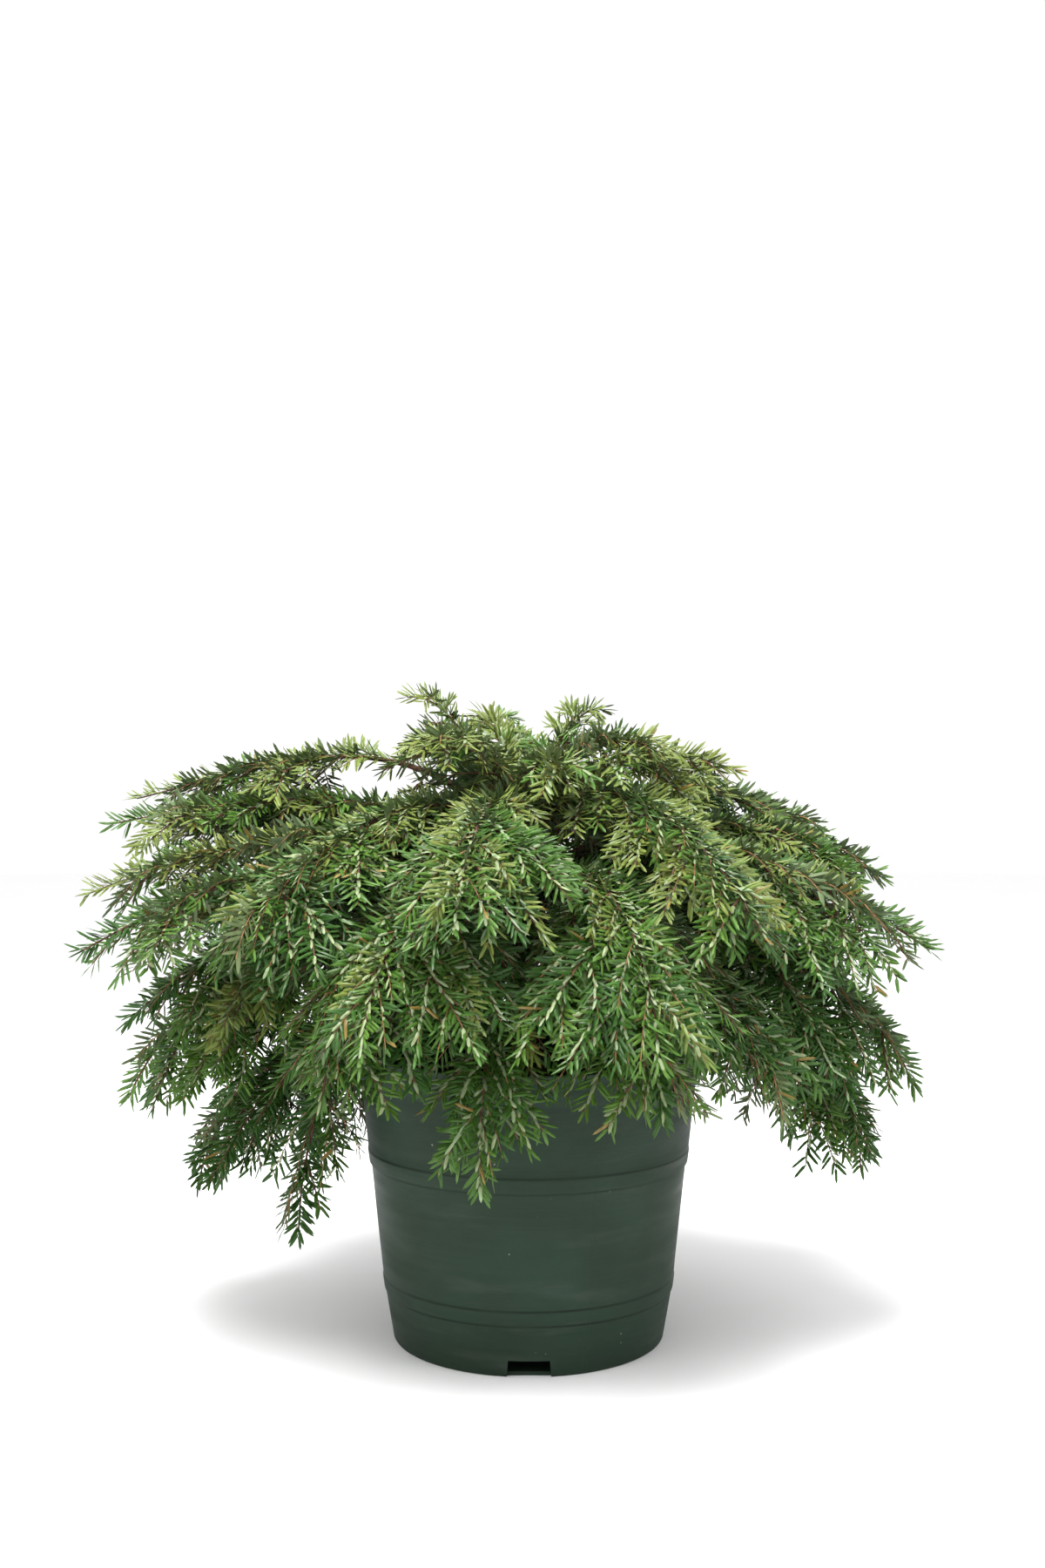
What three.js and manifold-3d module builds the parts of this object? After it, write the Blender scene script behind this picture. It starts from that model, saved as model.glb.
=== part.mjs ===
// A spreading eastern hemlock in a nursery pot.
// Millimetres, +Z up. The origin is the centre of the pot's flat underside, and -Y is the front.
// The pot holds potting soil, a short trunk stands in the soil, and arching boughs leave the trunk all round.
// Each bough carries one mass of foliage: a stem with flat toothed sprays of needles fused to it.
import * as THREE from 'three';
import { mergeVertices } from 'three/addons/utils/BufferGeometryUtils.js';
import Module from 'manifold-3d';

const wasm = await Module();
wasm.setup();

// Clearance between pieces that touch on the real plant
const SEAT_GAP = 0.3;

// Pot, a blow-moulded nursery container
const POT_HEIGHT = 187;
const RIM_RADIUS = 114;
const FOOT_RADIUS = 88.2;
const POT_WALL = 1.6;
const POT_FLOOR = 2.4;
const POT_SIDES = 40;
const RIM_BAND = { foot: 175, radius: 112.2, neck: 167, neckRadius: 109.4 };
const UPPER_RING = { foot: 113.6, height: 9.4, stepOut: 1.3 };
const LOWER_RING = { foot: 32, height: 9, stepOut: 0.9 };
const WALL_AT_UPPER_RING = 102.6;
const WALL_AT_LOWER_RING = 93.3;
const DRAIN_NOTCH = { width: 25, height: 11.3, count: 4, depth: 12 };

// Potting soil, filled to a little below the rim
const SOIL_TOP = 165;
const SOIL_CROWN = 4;
const SOIL_FLAT_RADIUS = 24;

// Trunk, from its root flare to the last fork
const TRUNK_TOP = 350;
const TRUNK_SIDES = 10;
const TRUNK_STATIONS = [
  // share of the height, radius
  [0, 14.5],
  [0.04, 11.6],
  [0.1, 9.6],
  [0.3, 8.6],
  [0.55, 7.2],
  [0.8, 5.4],
  [1, 3.8],
];
const TRUNK_LEAN = { x: -7, y: 5 };
const TRUNK_FOOT = SOIL_TOP + SOIL_CROWN + SEAT_GAP;

// Boughs
const BOUGH_SIDES = 5;
const BOUGH_RADIUS_PER_LENGTH = 0.0118;
const PATH_STEPS = 48;
const SWAY_DEG = 7;

// Stems and sprays of needles
const STEM_SIDES = 3;
const STEM_LEAST_RADIUS = 1.4;
const ROOT_SHARE = 0.35;
const SPRAY_GAP = 24;
const SPRAY_ANGLE_DEG = 52;
const SPRAY_TILT_DEG = 26;
const OTHER_TILTS_DEG = [0, -18, 18];
const SPRAY_LONGEST = 112;
const SPRAY_SHORTEST = 22;
const SPRAY_SHARE_OF_REST = 0.62;
const SPRAY_TRIM = 0.86;
const SPRAY_DROOP = 0.2;
const TOOTH_PITCH = 25;
const NEEDLE_REACH = 9;
const REACH_PER_LENGTH = 0.06;
const NEEDLE_LEAN = 11;
const VALLEY_SHARE = 0.5;
const BLADE_THICKNESS = 1.8;
const TIP_SPRAY = 58;
const SPACE_MARGIN = 0.9;
const LAYER_SLOPE = 0.6;
const LAYER_WEIGHT = 2.5;

// The crown's boughs, one row each: name, azimuth, reach, tip, leaves, lift, fall, hang, bare.
// Azimuth is in degrees from +X towards +Y, so 180 is left and -90 the front. reach and tip place the
// furthest needle, and leaves is the height where the bough leaves the trunk. lift and fall arch it, hang is
// the share of the reach where it turns down, and bare is the share of it without foliage. A bare part longer
// than LIMB_SHARE is a limb of its own.
const LIMB_SHARE = 0.25;
const FIRST_SEED = 101;
const SEED_STEP = 37;
const BOUGH_ROWS = [
  ['top_left', 178, 80, 416, 336, 20, 6, 0.6, 0.1],
  ['top_right', 24, 54, 409, 342, 20, 4, 0.55, 0.1],
  ['top_back', 112, 84, 402, 330, 40, 16, 0.62, 0.1],
  ['top_front_left', -132, 98, 380, 334, 44, 20, 0.66, 0.1],
  ['top_front', -76, 102, 356, 340, 40, 26, 0.7, 0.1],
  ['top_front_right', -38, 106, 376, 328, 52, 24, 0.66, 0.1],
  ['top_back_left', 140, 108, 384, 339, 42, 18, 0.64, 0.1],
  ['upper_left', 172, 268, 349, 318, 94, 22, 0.66, 0.22],
  ['upper_back_left', 128, 246, 312, 313, 36, 26, 0.66, 0.22],
  ['upper_back', 84, 250, 310, 321, 84, 46, 0.68, 0.22],
  ['upper_back_right', 24, 236, 320, 306, 66, 42, 0.68, 0.22],
  ['upper_right', -8, 134, 368, 325, 50, 20, 0.66, 0.2],
  ['upper_front_right', -52, 216, 268, 312, 92, 58, 0.8, 0.22],
  ['upper_front', -101, 212, 280, 322, 58, 52, 0.78, 0.22],
  ['upper_front_left', -138, 242, 262, 309, 84, 52, 0.76, 0.22],
  ['middle_left', 182, 271, 333, 298, 66, 20, 0.64, 0.3],
  ['middle_left_front', 194, 281, 291, 290, 62, 34, 0.68, 0.24],
  ['middle_front_left', 206, 289, 262, 270, 74, 46, 0.7, 0.24],
  ['middle_front', -114, 224, 208, 280, 66, 84, 0.86, 0.34],
  ['middle_front_right', -72, 222, 208, 266, 76, 92, 0.86, 0.34],
  ['middle_right_front', -14, 256, 256, 290, 70, 50, 0.72, 0.28],
  ['middle_right', 9, 244, 295, 274, 78, 48, 0.66, 0.28],
  ['middle_back_right', 36, 250, 216, 284, 66, 58, 0.78, 0.3],
  ['middle_back', 90, 252, 222, 268, 70, 56, 0.78, 0.3],
  ['middle_back_left', 137, 258, 224, 279, 66, 54, 0.76, 0.3],
  ['low_left', 190, 256, 210, 258, 60, 50, 0.8, 0.34],
  ['lower_left', 177, 266, 150, 242, 68, 88, 0.88, 0.38],
  ['lower_back_left', 160, 250, 92, 224, 60, 72, 0.8, 0.42],
  ['hanging_left', 192, 150, 72, 232, 50, 150, 0.98, 0.52],
  ['lower_front_left', -128, 192, 176, 250, 54, 86, 0.94, 0.42],
  ['hanging_front', -100, 160, 130, 238, 48, 86, 1.04, 0.5],
  ['lower_front_right', -64, 172, 168, 246, 48, 84, 0.98, 0.46],
  ['lower_right_front', -38, 190, 158, 240, 52, 90, 0.96, 0.42],
  ['low_right', -6, 248, 166, 252, 64, 82, 0.88, 0.36],
  ['lower_right', 8, 232, 108, 228, 62, 112, 0.95, 0.42],
  ['lower_back_right', 62, 232, 128, 242, 54, 90, 0.92, 0.42],
  ['lower_back', 115, 226, 112, 234, 56, 100, 0.94, 0.42],
];
const BOUGHS = BOUGH_ROWS.map(([name, azimuth, reach, tip, leaves, lift, fall, hang, bare], i) => {
  const seed = FIRST_SEED + SEED_STEP * i;
  return { name, azimuth, reach, tip, leaves, lift, fall, hang, bare, seed, limb: bare > LIMB_SHARE };
});

// Materials
const finish = (color, roughness) => new THREE.MeshStandardMaterial({ color, roughness, metalness: 0 });
const POT_PLASTIC = finish(0x3d4b40, 0.45);
const SOIL = finish(0x2a211b, 0.95);
const BARK = finish(0x5a4638, 0.9);
const NEEDLES = finish(0x456b3a, 0.55);

// A repeatable run of numbers from 0 to 1
function seeded(seed) {
  let state = seed >>> 0;
  return () => {
    state = (state + 0x6d2b79f5) >>> 0;
    let t = Math.imul(state ^ (state >>> 15), 1 | state);
    t = (t + Math.imul(t ^ (t >>> 7), 61 | t)) ^ t;
    return ((t ^ (t >>> 14)) >>> 0) / 4294967296;
  };
}

const radians = THREE.MathUtils.degToRad;
const along = (point, direction, distance) => point.clone().addScaledVector(direction, distance);
const between = (a, b, share) => a + (b - a) * share;

// Solids and geometries

function toSolid(geometry) {
  const bare = geometry.index ? geometry.clone() : mergeVertices(geometry.clone());
  bare.deleteAttribute('normal');
  bare.deleteAttribute('uv');
  const merged = mergeVertices(bare, 1e-4);
  return new wasm.Manifold(
    new wasm.Mesh({
      numProp: 3,
      vertProperties: merged.attributes.position.array,
      triVerts: new Uint32Array(merged.index.array),
    }),
  );
}

function toGeometry(solid) {
  const mesh = solid.getMesh();
  const geometry = new THREE.BufferGeometry();
  geometry.setAttribute('position', new THREE.BufferAttribute(mesh.vertProperties, 3));
  geometry.setIndex(new THREE.BufferAttribute(mesh.triVerts, 1));
  geometry.computeVertexNormals();
  return geometry;
}

function fromFaces(points, faces) {
  const geometry = new THREE.BufferGeometry();
  geometry.setAttribute('position', new THREE.Float32BufferAttribute(points.flatMap((p) => p.toArray()), 3));
  geometry.setIndex(faces.flat());
  return geometry;
}

// A closed tapering limb with flat ends. Each station has a point, a radius, and two axes across it.
function limbGeometry(stations, sides) {
  const points = [];
  const faces = [];
  for (const { point, radius, side, up } of stations) {
    for (let k = 0; k < sides; k += 1) {
      const turn = (2 * Math.PI * k) / sides;
      points.push(along(along(point, side, radius * Math.cos(turn)), up, radius * Math.sin(turn)));
    }
  }
  for (let i = 0; i + 1 < stations.length; i += 1) {
    for (let k = 0; k < sides; k += 1) {
      const here = i * sides + k;
      const next = i * sides + ((k + 1) % sides);
      faces.push([here, next, here + sides], [next, next + sides, here + sides]);
    }
  }
  const last = (stations.length - 1) * sides;
  for (let k = 1; k + 1 < sides; k += 1) {
    faces.push([0, k + 1, k], [last, last + k, last + k + 1]);
  }
  return fromFaces(points, faces);
}

// Pot and soil

// The outside of the pot, from its foot up to the rim, as [radius, height].
function potOutside() {
  const lower = LOWER_RING;
  const upper = UPPER_RING;
  const ringSlope = 0.12;
  return [
    [FOOT_RADIUS, 0],
    [FOOT_RADIUS + 1.1, 2.2],
    [WALL_AT_LOWER_RING, lower.foot],
    [WALL_AT_LOWER_RING + lower.stepOut, lower.foot + 1.2],
    [WALL_AT_LOWER_RING + lower.stepOut + ringSlope * lower.height, lower.foot + lower.height],
    [WALL_AT_LOWER_RING + 0.5 + ringSlope * lower.height, lower.foot + lower.height + 1],
    [WALL_AT_UPPER_RING, upper.foot],
    [WALL_AT_UPPER_RING + upper.stepOut, upper.foot + 1.4],
    [WALL_AT_UPPER_RING + upper.stepOut + ringSlope * upper.height, upper.foot + upper.height],
    [WALL_AT_UPPER_RING + 0.9 + ringSlope * upper.height, upper.foot + upper.height + 1],
    [RIM_BAND.neckRadius, RIM_BAND.neck],
    [RIM_BAND.radius, RIM_BAND.foot],
    [RIM_RADIUS, POT_HEIGHT],
  ];
}

function radiusAt(profile, height) {
  const upper = profile.findIndex(([, z]) => z >= height);
  if (upper <= 0) return profile[upper === 0 ? 0 : profile.length - 1][0];
  const [r0, z0] = profile[upper - 1];
  const [r1, z1] = profile[upper];
  return between(r0, r1, (height - z0) / (z1 - z0));
}

const insideRadius = (height) => radiusAt(potOutside(), height) - POT_WALL;

function lathe(profile) {
  const geometry = new THREE.LatheGeometry(profile.map(([r, z]) => new THREE.Vector2(r, z)), POT_SIDES);
  return geometry.rotateX(Math.PI / 2);
}

function makePot() {
  const inside = [POT_HEIGHT, RIM_BAND.foot, RIM_BAND.neck, UPPER_RING.foot, LOWER_RING.foot, POT_FLOOR].map(
    (z) => [insideRadius(z), z],
  );
  let pot = toSolid(lathe([[0, 0], ...potOutside(), ...inside, [0, POT_FLOOR], [0, 0]]));
  for (let k = 0; k < DRAIN_NOTCH.count; k += 1) {
    const notch = new THREE.BoxGeometry(DRAIN_NOTCH.width, DRAIN_NOTCH.depth, 2 * DRAIN_NOTCH.height);
    notch.translate(0, -FOOT_RADIUS - 1, 0).rotateZ((2 * Math.PI * k) / DRAIN_NOTCH.count);
    pot = pot.subtract(toSolid(notch));
  }
  return toGeometry(pot);
}

function makeSoil() {
  const heights = [POT_FLOOR + SEAT_GAP, LOWER_RING.foot, UPPER_RING.foot, SOIL_TOP];
  const wall = heights.map((z) => [insideRadius(z) - SEAT_GAP - 0.1, z]);
  const crown = SOIL_TOP + SOIL_CROWN;
  const profile = [[0, heights[0]], ...wall, [SOIL_FLAT_RADIUS, crown], [0, crown], [0, heights[0]]];
  return toGeometry(toSolid(lathe(profile)));
}

// Trunk

function trunkPoint(height) {
  const share = (height - TRUNK_FOOT) / (TRUNK_TOP - TRUNK_FOOT);
  const lean = Math.max(0, share) ** 1.5;
  return new THREE.Vector3(TRUNK_LEAN.x * lean, TRUNK_LEAN.y * lean, height);
}

function trunkGeometry(grownBy) {
  const stations = TRUNK_STATIONS.map(([share, radius]) => ({
    point: trunkPoint(between(TRUNK_FOOT, TRUNK_TOP, share)),
    radius: radius + grownBy,
    side: new THREE.Vector3(1, 0, 0),
    up: new THREE.Vector3(0, 1, 0),
  }));
  stations[stations.length - 1].point.z += grownBy;
  return limbGeometry(stations, TRUNK_SIDES);
}

// Bough paths

function boughPath(bough) {
  const random = seeded(bough.seed);
  const sway = radians(SWAY_DEG) * (random() - 0.5);
  const foot = trunkPoint(bough.leaves);
  const place = (share, height, turn) => {
    const azimuth = radians(bough.azimuth) + turn;
    const out = bough.reach * share;
    return new THREE.Vector3(out * Math.cos(azimuth), out * Math.sin(azimuth), height);
  };
  const curve = new THREE.CubicBezierCurve3(
    foot,
    place(0.28, bough.leaves + bough.lift, sway).addScaledVector(foot.clone().setZ(0), 0.7),
    place(bough.hang, bough.tip + bough.fall, sway),
    place(1, bough.tip, 0),
  );
  const points = curve.getSpacedPoints(PATH_STEPS);
  const length = curve.getLength();
  const azimuth = radians(bough.azimuth);
  const side = new THREE.Vector3(-Math.sin(azimuth), Math.cos(azimuth), 0);
  const frame = (share) => {
    const at = THREE.MathUtils.clamp(share, 0, 1) * PATH_STEPS;
    const i = Math.min(PATH_STEPS - 1, Math.floor(at));
    const tangent = points[i + 1].clone().sub(points[i]).normalize();
    const point = points[i].clone().lerp(points[i + 1], at - i);
    const across = side.clone().addScaledVector(tangent, -side.dot(tangent)).normalize();
    return { point, tangent, side: across, up: tangent.clone().cross(across) };
  };
  const thick = BOUGH_RADIUS_PER_LENGTH * length + 0.5;
  const radius = (share) => thick * between(1, 0.3, share);
  return { points, length, frame, radius };
}

const paths = BOUGHS.map(boughPath);
const bareParts = BOUGHS.map((bough, i) => ({ ...bough, path: paths[i] }));

function makeBough(path, bare) {
  const stations = [0, 0.25, 0.5, 0.75, 1].map((share) => {
    const at = path.frame(share * bare);
    return { ...at, radius: path.radius(share * bare) };
  });
  return toGeometry(toSolid(limbGeometry(stations, BOUGH_SIDES)).subtract(trunkWithGap));
}

// Foliage

// A spray's path: it leaves its stem at a point in one direction, and its weight bends it down.
function sprayPath(point, direction, length, droop) {
  return (share) => {
    const out = length * share;
    const at = along(point, direction, out);
    at.z -= droop * out * share;
    const tangent = direction.clone();
    tangent.z -= 2 * droop * share;
    return { point: at, tangent: tangent.normalize() };
  };
}

// One spray of needles, a blade with a flat underside, a ridge along its twig and teeth along both edges
function bladeGeometry(path, length, normal, root) {
  const teeth = Math.max(2, Math.round(length / TOOTH_PITCH));
  const widest = NEEDLE_REACH + REACH_PER_LENGTH * length;
  const reachAt = (share) => widest * between(1, 0.66, share ** 2);
  const points = [];
  const faces = [];
  for (let j = 0; j <= teeth; j += 1) {
    const share = j / teeth;
    const { point, tangent } = path(share);
    const side = normal.clone().cross(tangent).normalize();
    const up = tangent.clone().cross(side);
    const valley = j === 0 ? root : VALLEY_SHARE * reachAt(share);
    const ridge = j === 0 ? root : between(BLADE_THICKNESS, 0.7 * BLADE_THICKNESS, share);
    points.push(along(point, up, ridge));
    points.push(along(point, side, valley), along(point, side, -valley));
    if (j === teeth) {
      points.push(along(point, tangent, NEEDLE_LEAN));
      break;
    }
    const middle = path((j + 0.6) / teeth);
    const tooth = along(middle.point, middle.tangent, NEEDLE_LEAN);
    points.push(along(tooth, side, reachAt(share)), along(tooth, side, -reachAt(share)));
  }
  const size = 5;
  for (let j = 0; j < teeth; j += 1) {
    const [ridge, left, right, leftTooth, rightTooth] = [0, 1, 2, 3, 4].map((k) => j * size + k);
    const [ridgeNext, leftNext, rightNext] = [0, 1, 2].map((k) => (j + 1) * size + k);
    faces.push([ridge, leftTooth, left], [ridge, ridgeNext, leftTooth], [ridgeNext, leftNext, leftTooth]);
    faces.push([ridge, right, rightTooth], [ridge, rightTooth, ridgeNext]);
    faces.push([ridgeNext, rightTooth, rightNext]);
    faces.push([left, leftTooth, leftNext], [right, rightNext, rightTooth]);
    faces.push([left, leftNext, rightNext], [left, rightNext, right]);
  }
  const end = teeth * size;
  faces.push([0, 1, 2], [end, end + 3, end + 1], [end, end + 2, end + 3], [end + 1, end + 3, end + 2]);
  return fromFaces(points, faces);
}

// How far a point is from a bough's layer of foliage, which slopes down on both sides of the bough
function layerDistance(point, spine) {
  const gap = new THREE.Vector3();
  return Math.min(
    ...spine.map((at) => {
      gap.copy(point).sub(at.point);
      const beside = Math.abs(gap.dot(at.side));
      const above = gap.dot(at.up) + LAYER_SLOPE * beside;
      return Math.hypot(gap.dot(at.tangent), beside, LAYER_WEIGHT * above);
    }),
  );
}

const spines = BOUGHS.map((bough, i) =>
  Array.from({ length: 15 }, (_, k) => paths[i].frame(between(Math.max(bough.bare, 0.12), 1, k / 14))),
);

function keepsToSpace(point, owner) {
  const own = layerDistance(point, spines[owner]);
  return spines.every((spine, i) => i === owner || layerDistance(point, spine) > own + 2 * SPACE_MARGIN);
}

function touchesLimb(point) {
  const radius = Math.hypot(point.x, point.y);
  const rimZone = radius > insideRadius(POT_HEIGHT) - 4;
  if (point.z < POT_HEIGHT + 6 && rimZone && radius < radiusAt(potOutside(), point.z) + 5) return true;
  if (!rimZone && point.z < SOIL_TOP + SOIL_CROWN + 4) return true;
  const trunk = trunkPoint(point.z);
  if (point.z < TRUNK_TOP + 3 && Math.hypot(point.x - trunk.x, point.y - trunk.y) < 12) return true;
  return bareParts.some(({ path, bare }) => {
    for (let k = 0; k <= 16; k += 1) {
      const share = (bare * k) / 16;
      if (path.frame(share).point.distanceTo(point) < path.radius(share) + 2.2) return true;
    }
    return false;
  });
}

const stemRadius = (path, share) => Math.max(STEM_LEAST_RADIUS, path.radius(share));

// The sprays of one bough by the seeded rule: alternate sides, shorter towards the tip. A spray's aim
// tilts it down from the bough like one side of a roof.
function spraysOf(bough, path) {
  const random = seeded(bough.seed + 7);
  const sprays = [];
  let side = random() < 0.5 ? 1 : -1;
  let s = bough.bare * path.length + 7;
  while (s < path.length - TIP_SPRAY * 0.5) {
    const { point, tangent, side: across, up } = path.frame(s / path.length);
    const toSide = across.clone().multiplyScalar(side);
    const angle = radians(SPRAY_ANGLE_DEG + 12 * (random() - 0.5));
    const tilt = SPRAY_TILT_DEG + 16 * (random() - 0.5);
    const length = 14 + SPRAY_SHARE_OF_REST * (path.length - s) * between(0.9, 1.1, random());
    const aim = (extraTilt) => {
      const turn = radians(tilt + extraTilt);
      const outward = toSide.clone().multiplyScalar(Math.cos(turn)).addScaledVector(up, -Math.sin(turn));
      return {
        direction: tangent.clone().multiplyScalar(Math.cos(angle)).addScaledVector(outward, Math.sin(angle)),
        normal: up.clone().multiplyScalar(Math.cos(turn)).addScaledVector(toSide, Math.sin(turn)),
      };
    };
    sprays.push({
      share: s / path.length,
      point,
      aim,
      length: THREE.MathUtils.clamp(length, SPRAY_SHORTEST, SPRAY_LONGEST),
      root: ROOT_SHARE * stemRadius(path, s / path.length),
    });
    side = -side;
    s += SPRAY_GAP * between(0.85, 1.15, random());
  }
  return sprays;
}

// A blade's corners beyond its root, and the middles of its faces
function outerPoints(blade) {
  const all = blade.attributes.position;
  const corner = (k) => new THREE.Vector3().fromBufferAttribute(all, k);
  const corners = Array.from({ length: all.count }, (_, k) => corner(k));
  const faces = Array.from({ length: blade.index.count / 3 }, (_, k) =>
    [0, 1, 2].map((c) => corners[blade.index.getX(3 * k + c)]),
  );
  const root = new Set(corners.slice(0, 3));
  const middles = faces
    .filter((face) => !face.some((point) => root.has(point)))
    .map(([a, b, c]) => a.clone().add(b).add(c).divideScalar(3));
  return [...corners.slice(3), ...middles];
}

// The longest blade of a spray that stays in its own space and clear of the limbs, or nothing
function fittedBlade(spray, owner) {
  for (let length = spray.length; length >= SPRAY_SHORTEST; length *= SPRAY_TRIM) {
    for (const extraTilt of OTHER_TILTS_DEG) {
      const { direction, normal } = spray.aim(extraTilt);
      const path = sprayPath(spray.point, direction, length, SPRAY_DROOP);
      const blade = bladeGeometry(path, length, normal, spray.root);
      if (outerPoints(blade).every((p) => keepsToSpace(p, owner) && !touchesLimb(p))) return toSolid(blade);
    }
  }
  return null;
}

function makeFoliage(bough, path, owner) {
  const sprays = spraysOf(bough, path);
  const tipRoot = 1 - TIP_SPRAY / path.length;
  const stemStart = bough.limb ? bough.bare + SEAT_GAP / path.length : 0;
  const joints = sprays.map(({ share }) => share).filter((share) => share < tipRoot - 5 / path.length);
  const stations = [stemStart, ...joints, tipRoot, tipRoot + 10 / path.length].map((share) => ({
    ...path.frame(share),
    radius: stemRadius(path, share),
  }));
  const tip = (share) => path.frame(between(tipRoot, 1, share));
  let mass = toSolid(limbGeometry(stations, STEM_SIDES));
  mass = mass.add(toSolid(bladeGeometry(tip, TIP_SPRAY, tip(0).up, ROOT_SHARE * STEM_LEAST_RADIUS)));
  for (const spray of sprays) {
    const blade = fittedBlade(spray, owner);
    if (blade) mass = mass.add(blade);
  }
  if (!bough.limb) mass = mass.subtract(trunkWithGap);
  return toGeometry(mass);
}

// Assembly

const trunkWithGap = toSolid(trunkGeometry(SEAT_GAP));
const hemlock = new THREE.Group();

function addPiece(name, geometry, material) {
  const mesh = new THREE.Mesh(geometry, material);
  mesh.name = name;
  hemlock.add(mesh);
}

addPiece('pot', makePot(), POT_PLASTIC);
addPiece('potting_soil', makeSoil(), SOIL);
addPiece('trunk', toGeometry(toSolid(trunkGeometry(0))), BARK);
for (const { name, path, bare } of bareParts.filter(({ limb }) => limb)) {
  addPiece(`bough_${name}`, makeBough(path, bare), BARK);
}
BOUGHS.forEach((bough, i) => addPiece(`foliage_${bough.name}`, makeFoliage(bough, paths[i], i), NEEDLES));

export default hemlock;
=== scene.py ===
"""A spreading eastern hemlock in a round nursery pot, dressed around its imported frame.

The pot is turned from its profile, and the trunk and the boughs get their bark. Each mass of
foliage grows again by the frame's own rule, which goes on here to shoots and single needles.
"""
import functools
import math

import bmesh
import bpy
import numpy as np
from mathutils import Matrix, Vector, noise


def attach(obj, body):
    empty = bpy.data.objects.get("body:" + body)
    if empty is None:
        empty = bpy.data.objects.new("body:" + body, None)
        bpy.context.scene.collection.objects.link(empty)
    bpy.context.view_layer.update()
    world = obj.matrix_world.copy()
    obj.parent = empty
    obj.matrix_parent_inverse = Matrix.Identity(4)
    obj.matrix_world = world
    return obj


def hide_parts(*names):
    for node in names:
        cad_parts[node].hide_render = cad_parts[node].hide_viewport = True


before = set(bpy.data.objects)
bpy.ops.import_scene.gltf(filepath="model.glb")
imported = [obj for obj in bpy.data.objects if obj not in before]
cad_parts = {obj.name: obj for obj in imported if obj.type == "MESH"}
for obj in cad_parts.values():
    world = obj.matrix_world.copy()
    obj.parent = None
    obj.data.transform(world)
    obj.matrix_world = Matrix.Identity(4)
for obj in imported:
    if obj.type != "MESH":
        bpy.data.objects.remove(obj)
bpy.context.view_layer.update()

bl_info = {
    "name": "Potted Eastern Hemlock",
    "version": (1, 0, 0),
    "blender": (4, 5, 0),
    "location": "View3D > Sidebar > Hemlock",
    "description": "Builds a potted eastern hemlock around its frame",
    "category": "Add Mesh",
}

# Lengths are in millimetres, and this turns them into metres
MM = 0.001
BODY = "root"

# Pot, as in the frame
POT_HEIGHT = 187
RIM_RADIUS = 114
FOOT_RADIUS = 88.2
FOOT_ROUNDING = 2.4
FOOT_TURNS_DEG = (0, 22, 45, 68, 90)
POT_WALL = 1.6
POT_FLOOR = 2.4
BOTTOM_RADIUS = 60
RIM_BAND = {"foot": 175, "radius": 112.2, "neck": 167, "neck_radius": 109.4}
LIP = {"height": 1.3, "overhang": 0.6, "underside": 0.5, "rounding": 0.3, "swell": 0.2}
UPPER_RING = {"foot": 113.6, "height": 9.4, "wall": 102.6, "step_out": 1.3, "step_in": 0.9}
LOWER_RING = {"foot": 32, "height": 9, "wall": 93.3, "step_out": 0.9, "step_in": 0.5}
RINGS = (LOWER_RING, UPPER_RING)
RING_SLOPE = 0.12
STEP_OUT_HEIGHT = 1.2
STEP_IN_HEIGHT = 1
INSIDE_HEIGHTS = (
    RIM_BAND["foot"], RIM_BAND["neck"], 140, UPPER_RING["foot"], 74, LOWER_RING["foot"], POT_FLOOR
)
NOTCH = {"width": 25.4, "height": 10.6, "count": 4, "depth": 12, "flare": 3, "outset": 1}

# Pot, as turned here: the wall waves from a share of the foot's radius outwards
WALL_ROW_HEIGHT = 9
POT_TURN_STEPS = 144
EDGE_ROUNDING = 0.5
EDGE_TOLERANCE = 0.05
WALL_WAVE = {"size": 70, "squeeze": 1.8, "shift": 4, "depth": 0.32, "foot": 4, "fade": 25}
WALL_INNERMOST = 0.97
WELD = 0.01
LIMB_WELD = 0.001

# Potting soil and its bark chips, which are turned in radians
SOIL_TOP = 165
SOIL_CROWN = 4
SOIL_RINGS = 16
SOIL_TURN_STEPS = 64
SOIL_GAP = 0.4
SOIL_ABOVE_NOTCH = 2.5
SOIL_RELIEF = {"size": 9, "depth": 1.8, "rim": 1, "below_top": 0.5}
CHIP_COUNT = 1100
CHIP_SEED = 11
CHIP_LENGTHS = (3.0, 9.0)
CHIP_WIDTH_SHARES = (0.35, 0.8)
CHIP_THICKNESS_SHARES = (0.15, 0.3)
CHIP_SKEWS = (0.75, 1.25)
CHIP_TILT = 0.35
CHIP_FULL_TURN = 6.28
CHIP_FROM_WALL = 7
CHIP_INNERMOST = 0.012
CHIP_HEAP = 2.2

# Trunk: stations are share of the height and radius, and relief is as shares of the radius
TRUNK_TOP = 350
TRUNK_FOOT = SOIL_TOP + SOIL_CROWN + 0.3
TRUNK_SUNK = 6
TRUNK_STATIONS = (
    (0, 14.5), (0.04, 11.6), (0.1, 9.6), (0.3, 8.6), (0.55, 7.2), (0.8, 5.4), (1, 3.8)
)
TRUNK_LEAN = (-7, 5)
TRUNK_LEAN_POWER = 1.5
TRUNK_SIDES = 40
TRUNK_STEP = 2.0
TRUNK_END_SHARE = 0.55
ROOT_LOBES = {"count": 5, "height": 26, "depth": 0.16, "turn": 0.8}
TRUNK_PLATES = {"round": 2.4, "height": 11, "octaves": ((1, 0.07), (2.7, 0.05))}
TRUNK_RIDGES = {"round": 5, "height": 22, "depth": 0.07}

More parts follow.
